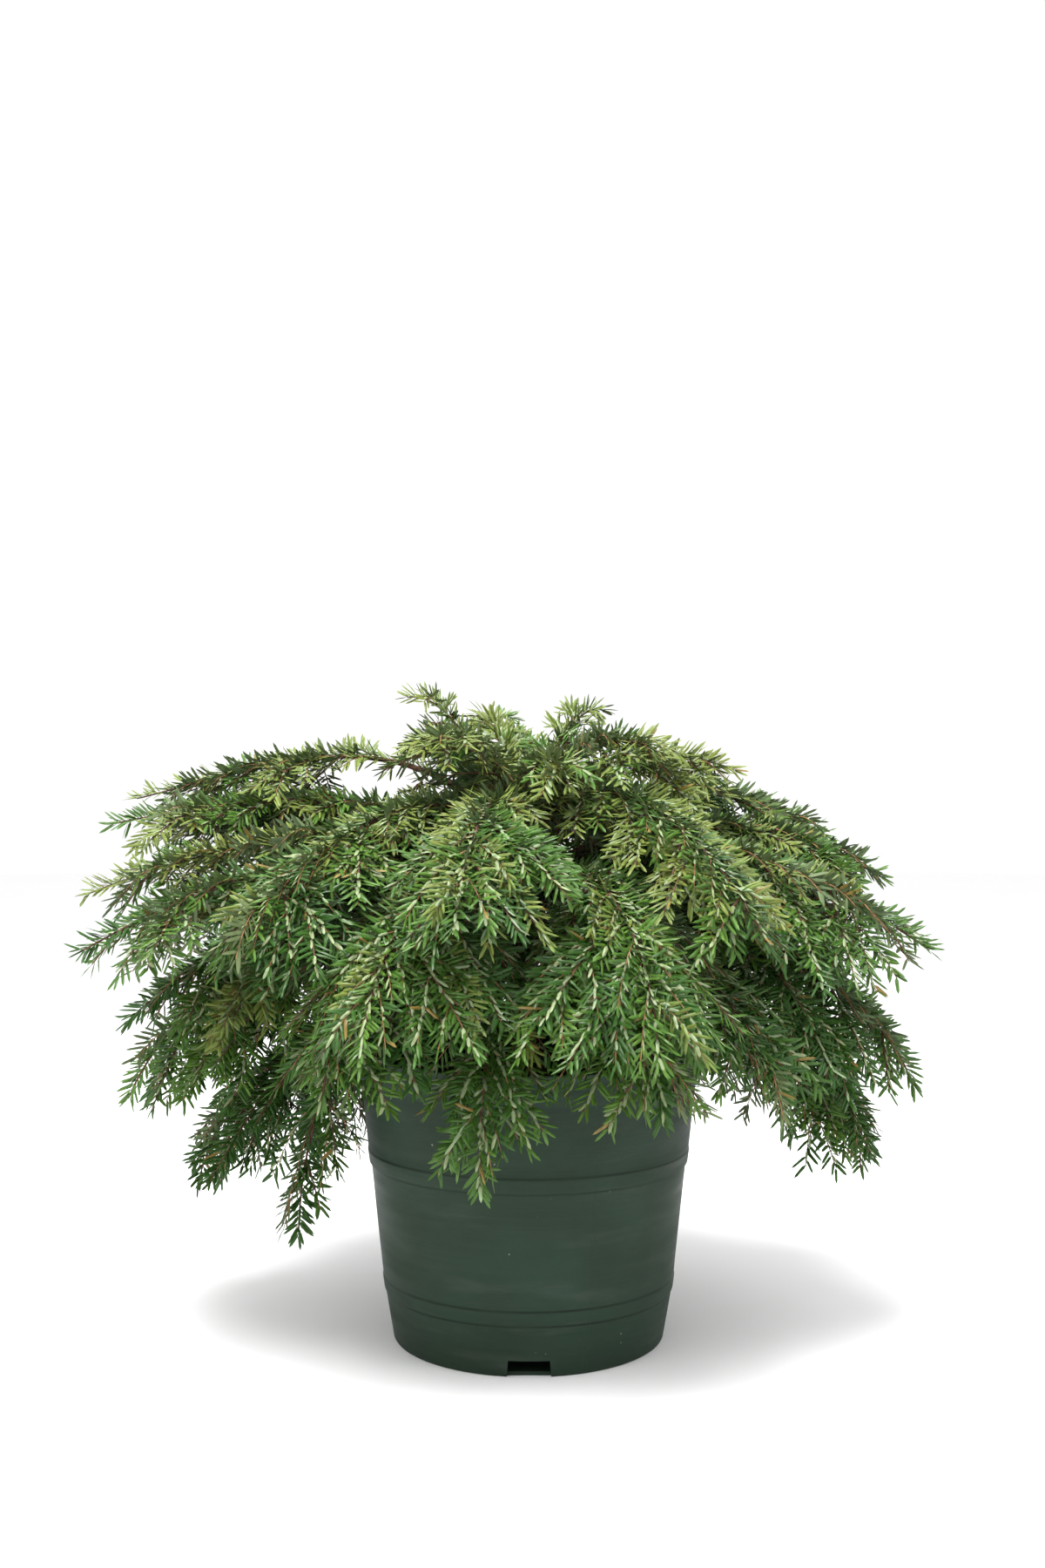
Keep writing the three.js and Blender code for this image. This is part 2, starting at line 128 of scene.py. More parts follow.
# Boughs: the frame's rule
BOUGH_RADIUS_PER_LENGTH = 0.0118
BOUGH_RADIUS_BASE = 0.5
BOUGH_TIP_SHARE = 0.3
LIFT_PLACE = 0.28
LEAN_KEPT = 0.7
CURVE_SAMPLES = 201
PATH_STEPS = 48
SWAY_DEG = 7
SPRAY_SEED_STEP = 7
SPRAY_START = 7
SPRAY_END = 29
SPRAY_GAP = 24
SPRAY_GAP_SPREAD = (0.85, 1.15)
SPRAY_ANGLE_DEG = 52
SPRAY_ANGLE_SPREAD_DEG = 12
SPRAY_TILT_DEG = 26
SPRAY_TILT_SPREAD_DEG = 16
OTHER_TILTS_DEG = (0, -18, 18)
SPRAY_LONGEST = 112
SPRAY_SHORTEST = 22
SPRAY_BASE_LENGTH = 14
SPRAY_SHARE_OF_REST = 0.62
SPRAY_LENGTH_SPREAD = (0.9, 1.1)
SPRAY_TRIM = 0.86
SPRAY_DROOP = 0.2
TOOTH_PITCH = 25
TOOTH_PLACE = 0.6
NEEDLE_REACH = 9
REACH_PER_LENGTH = 0.06
REACH_AT_TIP = 0.66
NEEDLE_LEAN = 11
VALLEY_SHARE = 0.5
SPACE_MARGIN = 1.8
LAYER_SLOPE = 0.6
LAYER_WEIGHT = 2.5
LAYER_FRAMES = 15
LAYER_START = 0.12
LIMB_SHARE = 0.25
LIMB_POINTS = 16
LIMB_GAP = 2.2
POT_GAP = 5
WALL_ZONE = {"inward": 4, "above": 6}
SOIL_SLACK = 1
TRUNK_ZONE = {"radius": 12, "above": 3}

# Boughs: the finer growth
BOUGH_SIDES = 9
BOUGH_STEP = 3.5
BOUGH_FEWEST_STEPS = 8
BOUGH_END_SHARE = 0.5
BOUGH_COLLAR = {"length": 9, "depth": 0.3}
BOUGH_PLATES = {"size": 9, "round": 0.9, "octaves": ((1, 0.16), (2.6, 0.1))}
STEM_TIP_RADIUS = 0.55
STEM_TAPER_POWER = 0.3
PARTNER_PLACE = 0.45
PARTNER_SLACK = 12
PARTNER_END_SHARE = 0.22
SHOOT_START = (8, 14)
SHOOT_END = 27
SHOOT_SHORTEST = 14
SHOOT_BASE_LENGTH = 7
SHOOT_SHARE_OF_REST = 0.56
SHOOT_TRIM = 0.8
TIP_CLEAR = 5
HANGING_DROP = 60
CREST_START = 0.1
CREST_OVERLAP = 0.14
CREST_END_SHARE = 0.14
CREST_AT_TIP = {"share": 0.55, "length": 90}
CREST_AHEAD = 0.1
# Crest shoots are tinted as if this much higher up: painted light on the top of the bough
CREST_PAINTED_LIGHT_RISE = 25
# Inner twigs below this height take the deep tint, as painted shade
INNER_LIGHT = 300
TWIG_SIDES = {"old_twigs": 4, "young_twigs": 3}
TWIG_STEP = 9
TWIG_POINT = 2.0
LATERAL_RADII = (0.95, 0.45)
SHOOT_RADII = (0.5, 0.32)

# Rows of twigs, as ranges: the gap from one to the next, the angle to the stem and the tilt out of
# its plane, the length or a factor of it, the limits of the length, and the droop at the foot and
# at the top of the crown; and how far the twigs may reach beyond their bough's own space
TWIG_ROWS = {
    "shoot": {
        "gaps": (8.5, 12),
        "angles_deg": (33, 47),
        "tilts_deg": (-26, 18),
        "lengths": (0.8, 1.2),
        "limits": (SHOOT_SHORTEST, 54),
        "droops": (0.72, 0.25),
        "slack": 18,
    },
    "crest": {
        "gaps": (6.4, 9.6),
        "angles_deg": (30, 54),
        "tilts_deg": (12, 42),
        "lengths": (24, 52),
        "limits": (0, 52),
        "droops": (0.55, 0.55),
        "slack": 18,
    },
    "inner": {
        "gaps": (3.6, 5.4),
        "angles_deg": (38, 70),
        "tilts_deg": (-60, 60),
        "lengths": (30, 66),
        "limits": (0, 66),
        "droops": (0.4, 0.4),
        "slack": 60,
    },
}

# Where a twig is tested for room: share of its length, and millimetres ahead and aside of it
PROBES = ((0.6, 0, 0), (1, 0, 0), (1, 9, 0), (0.8, 4, 8), (0.8, 4, -8))
TIP_PROBE = 1

# Share of the shoots that grow on each of the sparser boughs at the sides and below
SHARE_GROWN = {
    "hanging_left": 0.5,
    "lower_back_left": 0.65,
    "lower_left": 0.68,
    "low_left": 0.85,
    "lower_right": 0.8,
    "hanging_front": 0.75,
}

# Boughs with narrower side sprays, those whose sprays have no partner, and stretches with no twigs
SPRAY_WIDTHS = {"hanging_left": 0.72, "hanging_front": 0.62}
LONE_SPRAYS = ("hanging_left",)
OPEN_SPANS = {"upper_left": (0.24, 0.46)}

# How far the needles of boughs at the sides are turned round their twigs, to face the front
NEEDLE_TURNS_DEG = {
    "hanging_left": -75,
    "lower_back_left": -60,
    "lower_left": -35,
    "low_left": -30,
    "middle_left_front": -20,
    "middle_left": -30,
    "upper_left": -30,
    "upper_back_left": -30,
    "upper_back_right": 30,
    "upper_right": 25,
    "middle_right": 30,
    "middle_back_right": 30,
    "low_right": 30,
    "lower_right": 35,
}

# One row for each bough: name, azimuth in degrees from +X towards +Y, reach, height of the tip,
# height where it leaves the trunk, lift, fall, share of the reach where it turns down, and share
# without foliage
BOUGH_TABLE = (
    ("top_left", 178, 80, 416, 336, 20, 6, 0.6, 0.1),
    ("top_right", 24, 54, 409, 342, 20, 4, 0.55, 0.1),
    ("top_back", 112, 84, 402, 330, 40, 16, 0.62, 0.1),
    ("top_front_left", -132, 98, 380, 334, 44, 20, 0.66, 0.1),
    ("top_front", -76, 102, 356, 340, 40, 26, 0.7, 0.1),
    ("top_front_right", -38, 106, 376, 328, 52, 24, 0.66, 0.1),
    ("top_back_left", 140, 108, 384, 339, 42, 18, 0.64, 0.1),
    ("upper_left", 172, 268, 349, 318, 94, 22, 0.66, 0.22),
    ("upper_back_left", 128, 246, 312, 313, 36, 26, 0.66, 0.22),
    ("upper_back", 84, 250, 310, 321, 84, 46, 0.68, 0.22),
    ("upper_back_right", 24, 236, 320, 306, 66, 42, 0.68, 0.22),
    ("upper_right", -8, 134, 368, 325, 50, 20, 0.66, 0.2),
    ("upper_front_right", -52, 216, 268, 312, 92, 58, 0.8, 0.22),
    ("upper_front", -101, 212, 280, 322, 58, 52, 0.78, 0.22),
    ("upper_front_left", -138, 242, 262, 309, 84, 52, 0.76, 0.22),
    ("middle_left", 182, 271, 333, 298, 66, 20, 0.64, 0.3),
    ("middle_left_front", 194, 281, 291, 290, 62, 34, 0.68, 0.24),
    ("middle_front_left", 206, 289, 262, 270, 74, 46, 0.7, 0.24),
    ("middle_front", -114, 224, 208, 280, 66, 84, 0.86, 0.34),
    ("middle_front_right", -72, 222, 208, 266, 76, 92, 0.86, 0.34),
    ("middle_right_front", -14, 256, 256, 290, 70, 50, 0.72, 0.28),
    ("middle_right", 9, 244, 295, 274, 78, 48, 0.66, 0.28),
    ("middle_back_right", 36, 250, 216, 284, 66, 58, 0.78, 0.3),
    ("middle_back", 90, 252, 222, 268, 70, 56, 0.78, 0.3),
    ("middle_back_left", 137, 258, 224, 279, 66, 54, 0.76, 0.3),
    ("low_left", 190, 256, 210, 258, 60, 50, 0.8, 0.34),
    ("lower_left", 177, 266, 150, 242, 68, 88, 0.88, 0.38),
    ("lower_back_left", 160, 250, 92, 224, 60, 72, 0.8, 0.42),
    ("hanging_left", 192, 150, 72, 232, 50, 150, 0.98, 0.52),
    ("lower_front_left", -128, 192, 176, 250, 54, 86, 0.94, 0.42),
    ("hanging_front", -100, 160, 130, 238, 48, 86, 1.04, 0.5),
    ("lower_front_right", -64, 172, 168, 246, 48, 84, 0.98, 0.46),
    ("lower_right_front", -38, 190, 158, 240, 52, 90, 0.96, 0.42),
    ("low_right", -6, 248, 166, 252, 64, 82, 0.88, 0.36),
    ("lower_right", 8, 232, 108, 228, 62, 112, 0.95, 0.42),
    ("lower_back_right", 62, 232, 128, 242, 54, 90, 0.92, 0.42),
    ("lower_back", 115, 226, 112, 234, 56, 100, 0.94, 0.42),
)
FIRST_SEED = 101
SEED_STEP = 37

# Needles, beside what the settings hold. Lifts, rolls, rises and yaws are the middle and the
# deviation of a normal draw, and NEEDLE_ANGLE_DEG is along a twig and at its tip.
NEEDLE_OUTLINE = ((0, 0), (0.5, 0.2), (0.4, 0.8), (0, 1), (-0.4, 0.8), (-0.5, 0.2))
NEEDLE_THICKNESS_SHARE = 0.26
NEEDLE_START = 3.5
STEM_NEEDLE_START = 4
NEEDLE_OVERSHOOT = 0.5
NEEDLE_JITTER = (-0.35, 0.35)
NEEDLE_ANGLE_DEG = (53, 26)
NEEDLE_ANGLE_SPREAD_DEG = 9
NEEDLE_CROWDING = 13
NEEDLE_PITCH_FACTORS = {
    "stem": 0.8,
    "lateral": 1.0,
    "shoot": 0.97,
    "crest": 0.97,
    "inner": 1.5,
}
NEEDLE_LIFTS_DEG = {
    "stem": (24, 34),
    "lateral": (18, 30),
    "shoot": (16, 30),
    "crest": (16, 30),
    "inner": (12, 30),
}
NEEDLE_ROLL_DEG = (8, 15)
NEEDLE_LENGTH_SPREAD = (0.8, 1.12)
NEEDLE_LENGTH_AT_TIP = 0.82
NEEDLE_WIDTH_SPREAD = (0.86, 1.1)
NEEDLE_SEAT = 0.6
TWIG_ROLL_DEG = 22
UPRIGHT_START = (0, 5)
UPRIGHT_END = 3
UPRIGHT_PITCH = 5.0
UPRIGHT_LENGTH = 9.2
UPRIGHT_LENGTH_SPREAD = (0.75, 1.15)
UPRIGHT_WIDTH_SHARE = 1.02
UPRIGHT_WIDTH_SPREAD = (0.8, 1.15)
UPRIGHT_RISE_DEG = (12, 4)
UPRIGHT_YAW_DEG = (0, 17)
UPRIGHT_SHARE = 0.9
TIP_TO_POT = 1.5
FOOT_TO_POT = 1.0
PIECE_TRIANGLES = 190000

# Each tint of the foliage: a colour setting's name, and weights at the foot and top of the crown
# Partly the needles' own colours, partly painted shade low down and painted light at the top
TINTS = (
    ("deep", 0.38, 0),
    ("mid", 0.38, 0.08),
    ("fresh", 0.24, 0.34),
    ("olive", 0, 1),
)
TINT_POWER = 3
STEM_TINT_PLACE = 0.8
SPRAY_TINT_PLACE = 0.7
CROWN_FOOT = 140
CROWN_TOP = 380
YELLOWED_SHARE = 0.008

# Finishes: roughness and specular level of the needles, colours as linear light, and the dark
# lines of painted shade in the pot's moulded steps and the mould seam of the pot
UPPERSIDE_GLOSS = (0.4, 0.28)
UNDERSIDE_GLOSS = (0.6, 0.25)
MINERAL_SPECKS = (0.25, 0.27, 0.24)
SPECK_GAP = 20 / 3
DUST = (0.16, 0.17, 0.16)
LICHEN_GREY = (0.19, 0.17, 0.14)
STEP_SHADE_LINES = {"above_foot": 0.3, "above_top": 0.7, "inner": 0.3, "outer": 1.1}
SEAM = {"inner": 0.2, "outer": 0.8}

# Stage, in metres: each softbox has its place, its size and the setting that holds its power
FLOOR_RADIUS = 6
LIGHT_AIM = (0, 0, 0.24)
SOFTBOXES = (
    ("softbox_top", (-0.2, -0.5, 1.65), 1.0, "key"),
    ("softbox_left", (-1.3, -1.1, 0.9), 0.9, "fill"),
    ("softbox_right", (1.4, -0.9, 0.8), 0.9, "fill"),
)

# Camera, in millimetres, and in pixels of a picture that is 1800 of them high
CAMERA_PLACE = (-3.9, -1117, 359)
PICTURE_HEIGHT = 1800
FOCAL_PIXELS = 1955
SENSOR = 36.0
NEAREST = 10


# Small vector helpers on rows of numbers

UPWARD = np.array((0.0, 0.0, 1.0))


def unit(v):
    return v / np.linalg.norm(v, axis=-1, keepdims=True)


def dot(a, b):
    return (a * b).sum(-1, keepdims=True)


def between(a, b, share):
    return a + (b - a) * share


def seeded(seed):
    """The frame's own repeatable run of numbers from 0 to 1."""
    mask = 0xFFFFFFFF
    state = seed

    def draw():
        nonlocal state
        state = (state + 0x6D2B79F5) & mask
        t = ((state ^ (state >> 15)) * (1 | state)) & mask
        t = ((t + (t ^ (t >> 7)) * (61 | t)) & mask) ^ t
        return (t ^ (t >> 14)) / 4294967296

    return draw


# Pot profile


def ring(band):
    """The outside of the pot where a moulded ring steps out and in again, as (radius, height)."""
    wall, foot, top = band["wall"], band["foot"], band["foot"] + band["height"]
    out = wall + band["step_out"]
    widening = RING_SLOPE * band["height"]
    return [
        (wall, foot),
        (out, foot + STEP_OUT_HEIGHT),
        (out + widening, top),
        (wall + band["step_in"] + widening, top + STEP_IN_HEIGHT),
    ]


def pot_outside():
    """The outside of the pot from its foot up to the lip."""
    corner = [
        (
            FOOT_RADIUS - FOOT_ROUNDING * (1 - math.sin(turn)),
            FOOT_ROUNDING * (1 - math.cos(turn)),
        )
        for turn in np.radians(FOOT_TURNS_DEG)
    ]
    lip = POT_HEIGHT - LIP["height"]
    return [
        *corner,
        *ring(LOWER_RING),
        *ring(UPPER_RING),
        (RIM_BAND["neck_radius"], RIM_BAND["neck"]),
        (RIM_BAND["radius"], RIM_BAND["foot"]),
        (RIM_RADIUS - LIP["overhang"], lip - LIP["underside"]),
        (RIM_RADIUS, lip),
        (RIM_RADIUS, POT_HEIGHT - LIP["rounding"]),
    ]


def radius_at(height):
    """The pot's outside radius at a height or an array of them."""
    profile = np.array(pot_outside())
    return np.interp(height, profile[:, 1], profile[:, 0])


def inside_radius(height):
    return radius_at(height) - POT_WALL


# Boughs and their paths


def trunk_lean(heights):
    """How much of the trunk's lean it has at heights, from 0 at its foot to 1 at its top."""
    return np.maximum(0, (heights - TRUNK_FOOT) / (TRUNK_TOP - TRUNK_FOOT)) ** TRUNK_LEAN_POWER


def trunk_point(height):
    lean = trunk_lean(height)
    return np.array((TRUNK_LEAN[0] * lean, TRUNK_LEAN[1] * lean, height))


class Bough:
    """One bough's path by the frame's rule, from the trunk's axis to its tip."""

    def __init__(self, index, row):
        self.name, azimuth, self.reach, self.tip, self.leaves, lift, fall, hang, self.bare = row
        self.azimuth = math.radians(azimuth)
        self.seed = FIRST_SEED + SEED_STEP * index
        self.limb = self.bare > LIMB_SHARE
        sway = math.radians(SWAY_DEG) * (seeded(self.seed)() - 0.5)
        foot = trunk_point(self.leaves)
        lifted = self.place(LIFT_PLACE, self.leaves + lift, sway)
        controls = np.array((
            foot,
            lifted + LEAN_KEPT * foot * (1, 1, 0),
            self.place(hang, self.tip + fall, sway),
            self.place(1, self.tip, 0),
        ))
        t = np.linspace(0, 1, CURVE_SAMPLES)
        steps = np.linalg.norm(np.diff(self.curve(controls, t), axis=0), axis=1)
        lengths = np.r_[0, np.cumsum(steps)]
        self.length = lengths[-1]
        even = np.interp(np.linspace(0, 1, PATH_STEPS + 1) * self.length, lengths, t)
        self.points = self.curve(controls, even)
        self.side = np.array((-math.sin(self.azimuth), math.cos(self.azimuth), 0))
        self.thick = BOUGH_RADIUS_PER_LENGTH * self.length + BOUGH_RADIUS_BASE

    def place(self, share, height, turn):
        azimuth = self.azimuth + turn
        out = self.reach * share
        return np.array((out * math.cos(azimuth), out * math.sin(azimuth), height))

    @staticmethod
    def curve(controls, t):
        t = np.asarray(t)[:, None]
        a, b, c, d = controls
        return (1 - t) ** 3 * a + 3 * (1 - t) ** 2 * t * b + 3 * (1 - t) * t**2 * c + t**3 * d

    def at(self, shares):
        """Points, tangents, sides and ups at shares of the path."""
        at = np.clip(np.atleast_1d(np.asarray(shares, float)), 0, 1) * PATH_STEPS
        i = np.minimum(PATH_STEPS - 1, np.floor(at).astype(int))
        step = self.points[i + 1] - self.points[i]
        tangent = unit(step)
        point = self.points[i] + step * (at - i)[:, None]
        across = unit(self.side - tangent * dot(tangent, self.side))
        return point, tangent, across, np.cross(tangent, across)

    def radius(self, share):
        return self.thick * between(1, BOUGH_TIP_SHARE, share)

    def drawn_radius(self, shares):
        """Radii for the bark: the frame's on the bare part, then down to a thin leading twig."""
        shares = np.asarray(shares, float)
        leafy = np.clip((shares - self.bare) / (1 - self.bare), 0, 1)
        limb = self.radius(np.minimum(shares, self.bare))
        return between(limb, STEM_TIP_RADIUS, leafy**STEM_TAPER_POWER)


BOUGHS = [Bough(i, row) for i, row in enumerate(BOUGH_TABLE)]


class Layers:
    """Every bough's layer of foliage, which slopes down on both sides of the bough."""

    def __init__(self):
        stations = np.linspace(0, 1, LAYER_FRAMES)
        frames = [
            bough.at(between(max(bough.bare, LAYER_START), 1, stations)) for bough in BOUGHS
        ]
        point, *axes = (np.concatenate(rows) for rows in zip(*frames))
        self.axes = [(axis.T, dot(axis, point)[:, 0]) for axis in axes]

    def distances(self, points):
        """How far each point is from each bough's layer, as rows of boughs."""
        forward, beside, above = (points @ axis - offset for axis, offset in self.axes)
        beside = np.abs(beside)
        above = above + LAYER_SLOPE * beside
        squares = forward**2 + beside**2 + (LAYER_WEIGHT * above) ** 2
        return np.sqrt(squares.reshape(len(points), len(BOUGHS), LAYER_FRAMES).min(-1))

    def keeps_to_space(self, points, owner, margin):
        """Whether each point is nearer to its owner's layer than to any other, by a margin."""
        away = self.distances(points)
        own = away[:, owner].copy()
        away[:, owner] = np.inf
        return away.min(1) > own + margin


class Limbs:
    """What foliage keeps clear of: the pot, the soil, the trunk and the bare boughs."""

    def __init__(self):
        shares = np.arange(LIMB_POINTS + 1) / LIMB_POINTS
        self.points = np.concatenate([bough.at(bough.bare * shares)[0] for bough in BOUGHS])
        radii = np.concatenate([bough.radius(bough.bare * shares) for bough in BOUGHS])
        self.reach = radii + LIMB_GAP

    @staticmethod
    def near_pot(points, gap=POT_GAP):
        radius = np.hypot(points[:, 0], points[:, 1])
        height = points[:, 2]
        over_wall = radius > inside_radius(POT_HEIGHT) - WALL_ZONE["inward"]
        low = height < POT_HEIGHT + WALL_ZONE["above"]
        at_wall = low & over_wall & (radius < radius_at(height) + gap)
        return at_wall | (~over_wall & (height < SOIL_TOP + SOIL_CROWN + gap - SOIL_SLACK))

    @staticmethod
    def near_trunk(points):
        lean = trunk_lean(points[:, 2])
        away = np.hypot(points[:, 0] - TRUNK_LEAN[0] * lean, points[:, 1] - TRUNK_LEAN[1] * lean)
        return (points[:, 2] < TRUNK_TOP + TRUNK_ZONE["above"]) & (away < TRUNK_ZONE["radius"])

    def touched(self, points):
        away = (points**2).sum(1)[:, None] - 2 * points @ self.points.T + (self.points**2).sum(1)
        near_bough = (away < self.reach**2).any(1)
        return near_bough | self.near_pot(points) | self.near_trunk(points)


LAYERS = Layers()
LIMBS = Limbs()


def has_room(points, owner, margin):
    """Whether points keep to their bough's space, by a margin, and clear of the limbs."""
    kept = LAYERS.keeps_to_space(points, owner, margin).all()
    return kept and not LIMBS.touched(points).any()


# Growth


class Twig:
    """A twig's path: it leaves its stem at a point, and its weight bends it down."""

    def __init__(self, kind, point, direction, normal, length, droop, radii):
        self.kind = kind
        self.point = point
        self.direction = direction
        self.normal = normal
        self.length = length
        self.droop = droop
        self.radii = radii

    def dyed(self, tint, turn=0):
        """The twig itself, with the tint of its needles and how far they are turned round it."""
        self.tint = tint
        self.turn = turn
        return self

    def at(self, shares):
        """Points, tangents, sides and ups at shares of the path."""
        shares = np.atleast_1d(np.asarray(shares, float))[:, None]
        point = self.point + self.direction * self.length * shares
        point = point - UPWARD * self.droop * self.length * shares**2
        tangent = unit(self.direction - UPWARD * 2 * self.droop * shares)
        side = unit(np.cross(self.normal, tangent))
        return point, tangent, side, np.cross(tangent, side)

    def drawn_radius(self, shares):
        return between(*self.radii, np.asarray(shares, float))


class Stem(Twig):
    """A bough's own leading twig, through its foliage."""

    def __init__(self, bough):
        self.kind = "stem"
        self.length = bough.length
        self.bare = bough.bare
        self.at = bough.at
        self.drawn_radius = bough.drawn_radius


def blade_points(twig):
    """The corners of the frame's blade for one spray, and the middles of its outer faces."""
    teeth = max(2, int(math.floor(twig.length / TOOTH_PITCH + 0.5)))
    widest = NEEDLE_REACH + REACH_PER_LENGTH * twig.length
    ends = np.arange(1, teeth + 1) / teeth
    roots = np.arange(teeth) / teeth
    point, tangent, side, _ = twig.at(ends)
    valley = (VALLEY_SHARE * widest * between(1, REACH_AT_TIP, ends**2))[:, None]
    left, right = point + side * valley, point - side * valley
    tooth_at, tooth_along, _, _ = twig.at((np.arange(teeth) + TOOTH_PLACE) / teeth)
    _, _, tooth_side, _ = twig.at(roots)
    reach = (widest * between(1, REACH_AT_TIP, roots**2))[:, None]
    tooth = tooth_at + tooth_along * NEEDLE_LEAN
    tooth_left, tooth_right = tooth + tooth_side * reach, tooth - tooth_side * reach
    end = point[-1:] + tangent[-1:] * NEEDLE_LEAN
    inner = slice(0, teeth - 1)
    outer = slice(1, teeth)
    faces = [
        (point[inner] + point[outer] + tooth_left[outer]) / 3,
        (point[inner] + tooth_right[outer] + point[outer]) / 3,
        (left[inner] + left[outer] + right[outer]) / 3,
        (left[inner] + right[outer] + right[inner]) / 3,
    ]
    return np.concatenate([point, left, right, tooth_left, tooth_right, end, *faces])


def sprays_of(bough):
    """The side sprays of a bough by the frame's rule, and beside most a partner across from it.

    Each is a place along the bough, an aim, a length, and whether it is a partner.
    """
    random = seeded(bough.seed + SPRAY_SEED_STEP)
    side = 1 if random() < 0.5 else -1
    s = bough.bare * bough.length + SPRAY_START
    while s < bough.length - SPRAY_END:
        angle = math.radians(SPRAY_ANGLE_DEG + SPRAY_ANGLE_SPREAD_DEG * (random() - 0.5))
        tilt = SPRAY_TILT_DEG + SPRAY_TILT_SPREAD_DEG * (random() - 0.5)
        rest = SPRAY_SHARE_OF_REST * (bough.length - s)
        length = SPRAY_BASE_LENGTH + rest * between(*SPRAY_LENGTH_SPREAD, random())
        length = min(SPRAY_LONGEST, max(SPRAY_SHORTEST, length))
        step = SPRAY_GAP * between(*SPRAY_GAP_SPREAD, random())
        yield s, spray_aim(bough, s, side, angle, tilt), length, False
        if s < bough.length * (1 - PARTNER_END_SHARE):
            aim = spray_aim(bough, s + PARTNER_PLACE * step, -side, angle, tilt)
            yield s, aim, length, True
        side = -side
        s += step


def leaning(axes, side, angle, rise):
    """The root point, direction and normal of a twig at an angle to its stem, raised by another."""
    point, tangent, across, up = axes
    outward = across * side * math.cos(rise) + up * math.sin(rise)
    normal = up * math.cos(rise) - across * side * math.sin(rise)
    return point, tangent * math.cos(angle) + outward * math.sin(angle), normal


def spray_aim(bough, place, side, angle, tilt_deg):
    """A function from an extra tilt to a spray's root point, direction and normal."""
    axes = [rows[0] for rows in bough.at(place / bough.length)]
    return lambda extra_deg: leaning(axes, side, angle, -math.radians(tilt_deg + extra_deg))


def fitted_spray(aim, length, owner, margin):
    """The longest spray that has room, or nothing."""
    while length >= SPRAY_SHORTEST:
        for extra_tilt in OTHER_TILTS_DEG:
            twig = Twig("lateral", *aim(extra_tilt), length, SPRAY_DROOP, LATERAL_RADII)
            if has_room(blade_points(twig), owner, margin):
                return twig
        length *= SPRAY_TRIM
    return None


def is_open(bough, s):
    """Whether a bough bears no twigs at s mm along it, so that the sky shows under it."""
    start, end = OPEN_SPANS.get(bough.name, (0, 0))
    return start <= s / bough.length < end


def row_of_twigs(kind, stem, random, side, start, end, length_at):
    """Places along a stem and the twigs there, on one side and the other by turns.

    length_at gives what the random length of a twig is multiplied by at its place.
    """
    rule = TWIG_ROWS[kind]
    shortest, longest = rule["limits"]
    s = start
    while s < end:
        angle = math.radians(random.uniform(*rule["angles_deg"]))
        tilt = math.radians(random.uniform(*rule["tilts_deg"]))
        length = length_at(s) * random.uniform(*rule["lengths"])
        length = min(longest, max(shortest, length))
        axes = [rows[0] for rows in stem.at(s / stem.length)]
        droop = between(*rule["droops"], crown_share(axes[0][2]))
        yield s, Twig(kind, *leaning(axes, side, angle, tilt), length, droop, SHOOT_RADII)
        side = -side
        s += random.uniform(*rule["gaps"])


def either_side(random):
    return random.choice((-1, 1))


def shoots_of(lateral, random):
    """Side shoots of one spray, shorter towards its tip."""

    def length_at(s):
        return SHOOT_BASE_LENGTH + SHOOT_SHARE_OF_REST * (lateral.length - s)

    side, start = either_side(random), random.uniform(*SHOOT_START)
    end = lateral.length - SHOOT_END
    return row_of_twigs("shoot", lateral, random, side, start, end, length_at)


def crest_of(bough, random):
    """Shoots that rise off the back of a bough and arch over it, ahead of where they start."""

    def length_at(s):
        near_tip = min(1, (bough.length - s) / CREST_AT_TIP["length"])
        return between(CREST_AT_TIP["share"], 1, near_tip)

    start = max(CREST_START, bough.bare - CREST_OVERLAP) * bough.length
    end = bough.length * (1 - CREST_END_SHARE)
    side = either_side(random)
    for s, twig in row_of_twigs("crest", bough, random, side, start, end, length_at):
        if not is_open(bough, s + CREST_AHEAD * bough.length):
            yield twig


def inner_twigs_of(bough, random):
    """Short twigs of the shaded inside, on every side of a bough where the frame has it bare."""
    start, end = CREST_START * bough.length, bough.bare * bough.length
    side = either_side(random)
    for s, twig in row_of_twigs("inner", bough, random, side, start, end, lambda s: 1):
        if not is_open(bough, s):
            yield twig


def trimmed_to_fit(twig, owner):
    """Trims a twig until it nearly keeps to its bough's space, and says whether it then does.

    On a hanging bough it also has to end above the bough's own tip.
    """
    bough = BOUGHS[owner]
    lowest = bough.tip + TIP_CLEAR if bough.tip < bough.leaves - HANGING_DROP else 0
    shares, ahead, aside = np.array(PROBES, float).T
    while twig.length >= SHOOT_SHORTEST * SHOOT_TRIM:
        point, tangent, side, _ = twig.at(shares)
        points = point + tangent * ahead[:, None] + side * aside[:, None]
        has_space = has_room(points, owner, -TWIG_ROWS[twig.kind]["slack"])
        if has_space and points[TIP_PROBE, 2] > lowest:
            return True
        twig.length *= SHOOT_TRIM
    return False


def height_on(path, share):
    """The height of a bough or a twig at a share of its path."""
    return path.at(share)[0][0, 2]


def crown_share(height):
    """0 at the foot of the crown and 1 at its top."""
    return min(1, max(0, (height - CROWN_FOOT) / (CROWN_TOP - CROWN_FOOT)))


def deal_tint(height, random):
    """A tint for one spray: greens low in the crown, and more and more olive towards its top.

    Partly the needles' own colour, partly painted shade low down and painted light at the top.
    """
    share = crown_share(height) ** TINT_POWER
    weights = np.array([between(foot, top, share) for _, foot, top in TINTS])
    return TINTS[random.choice(len(TINTS), p=weights / weights.sum())][0]


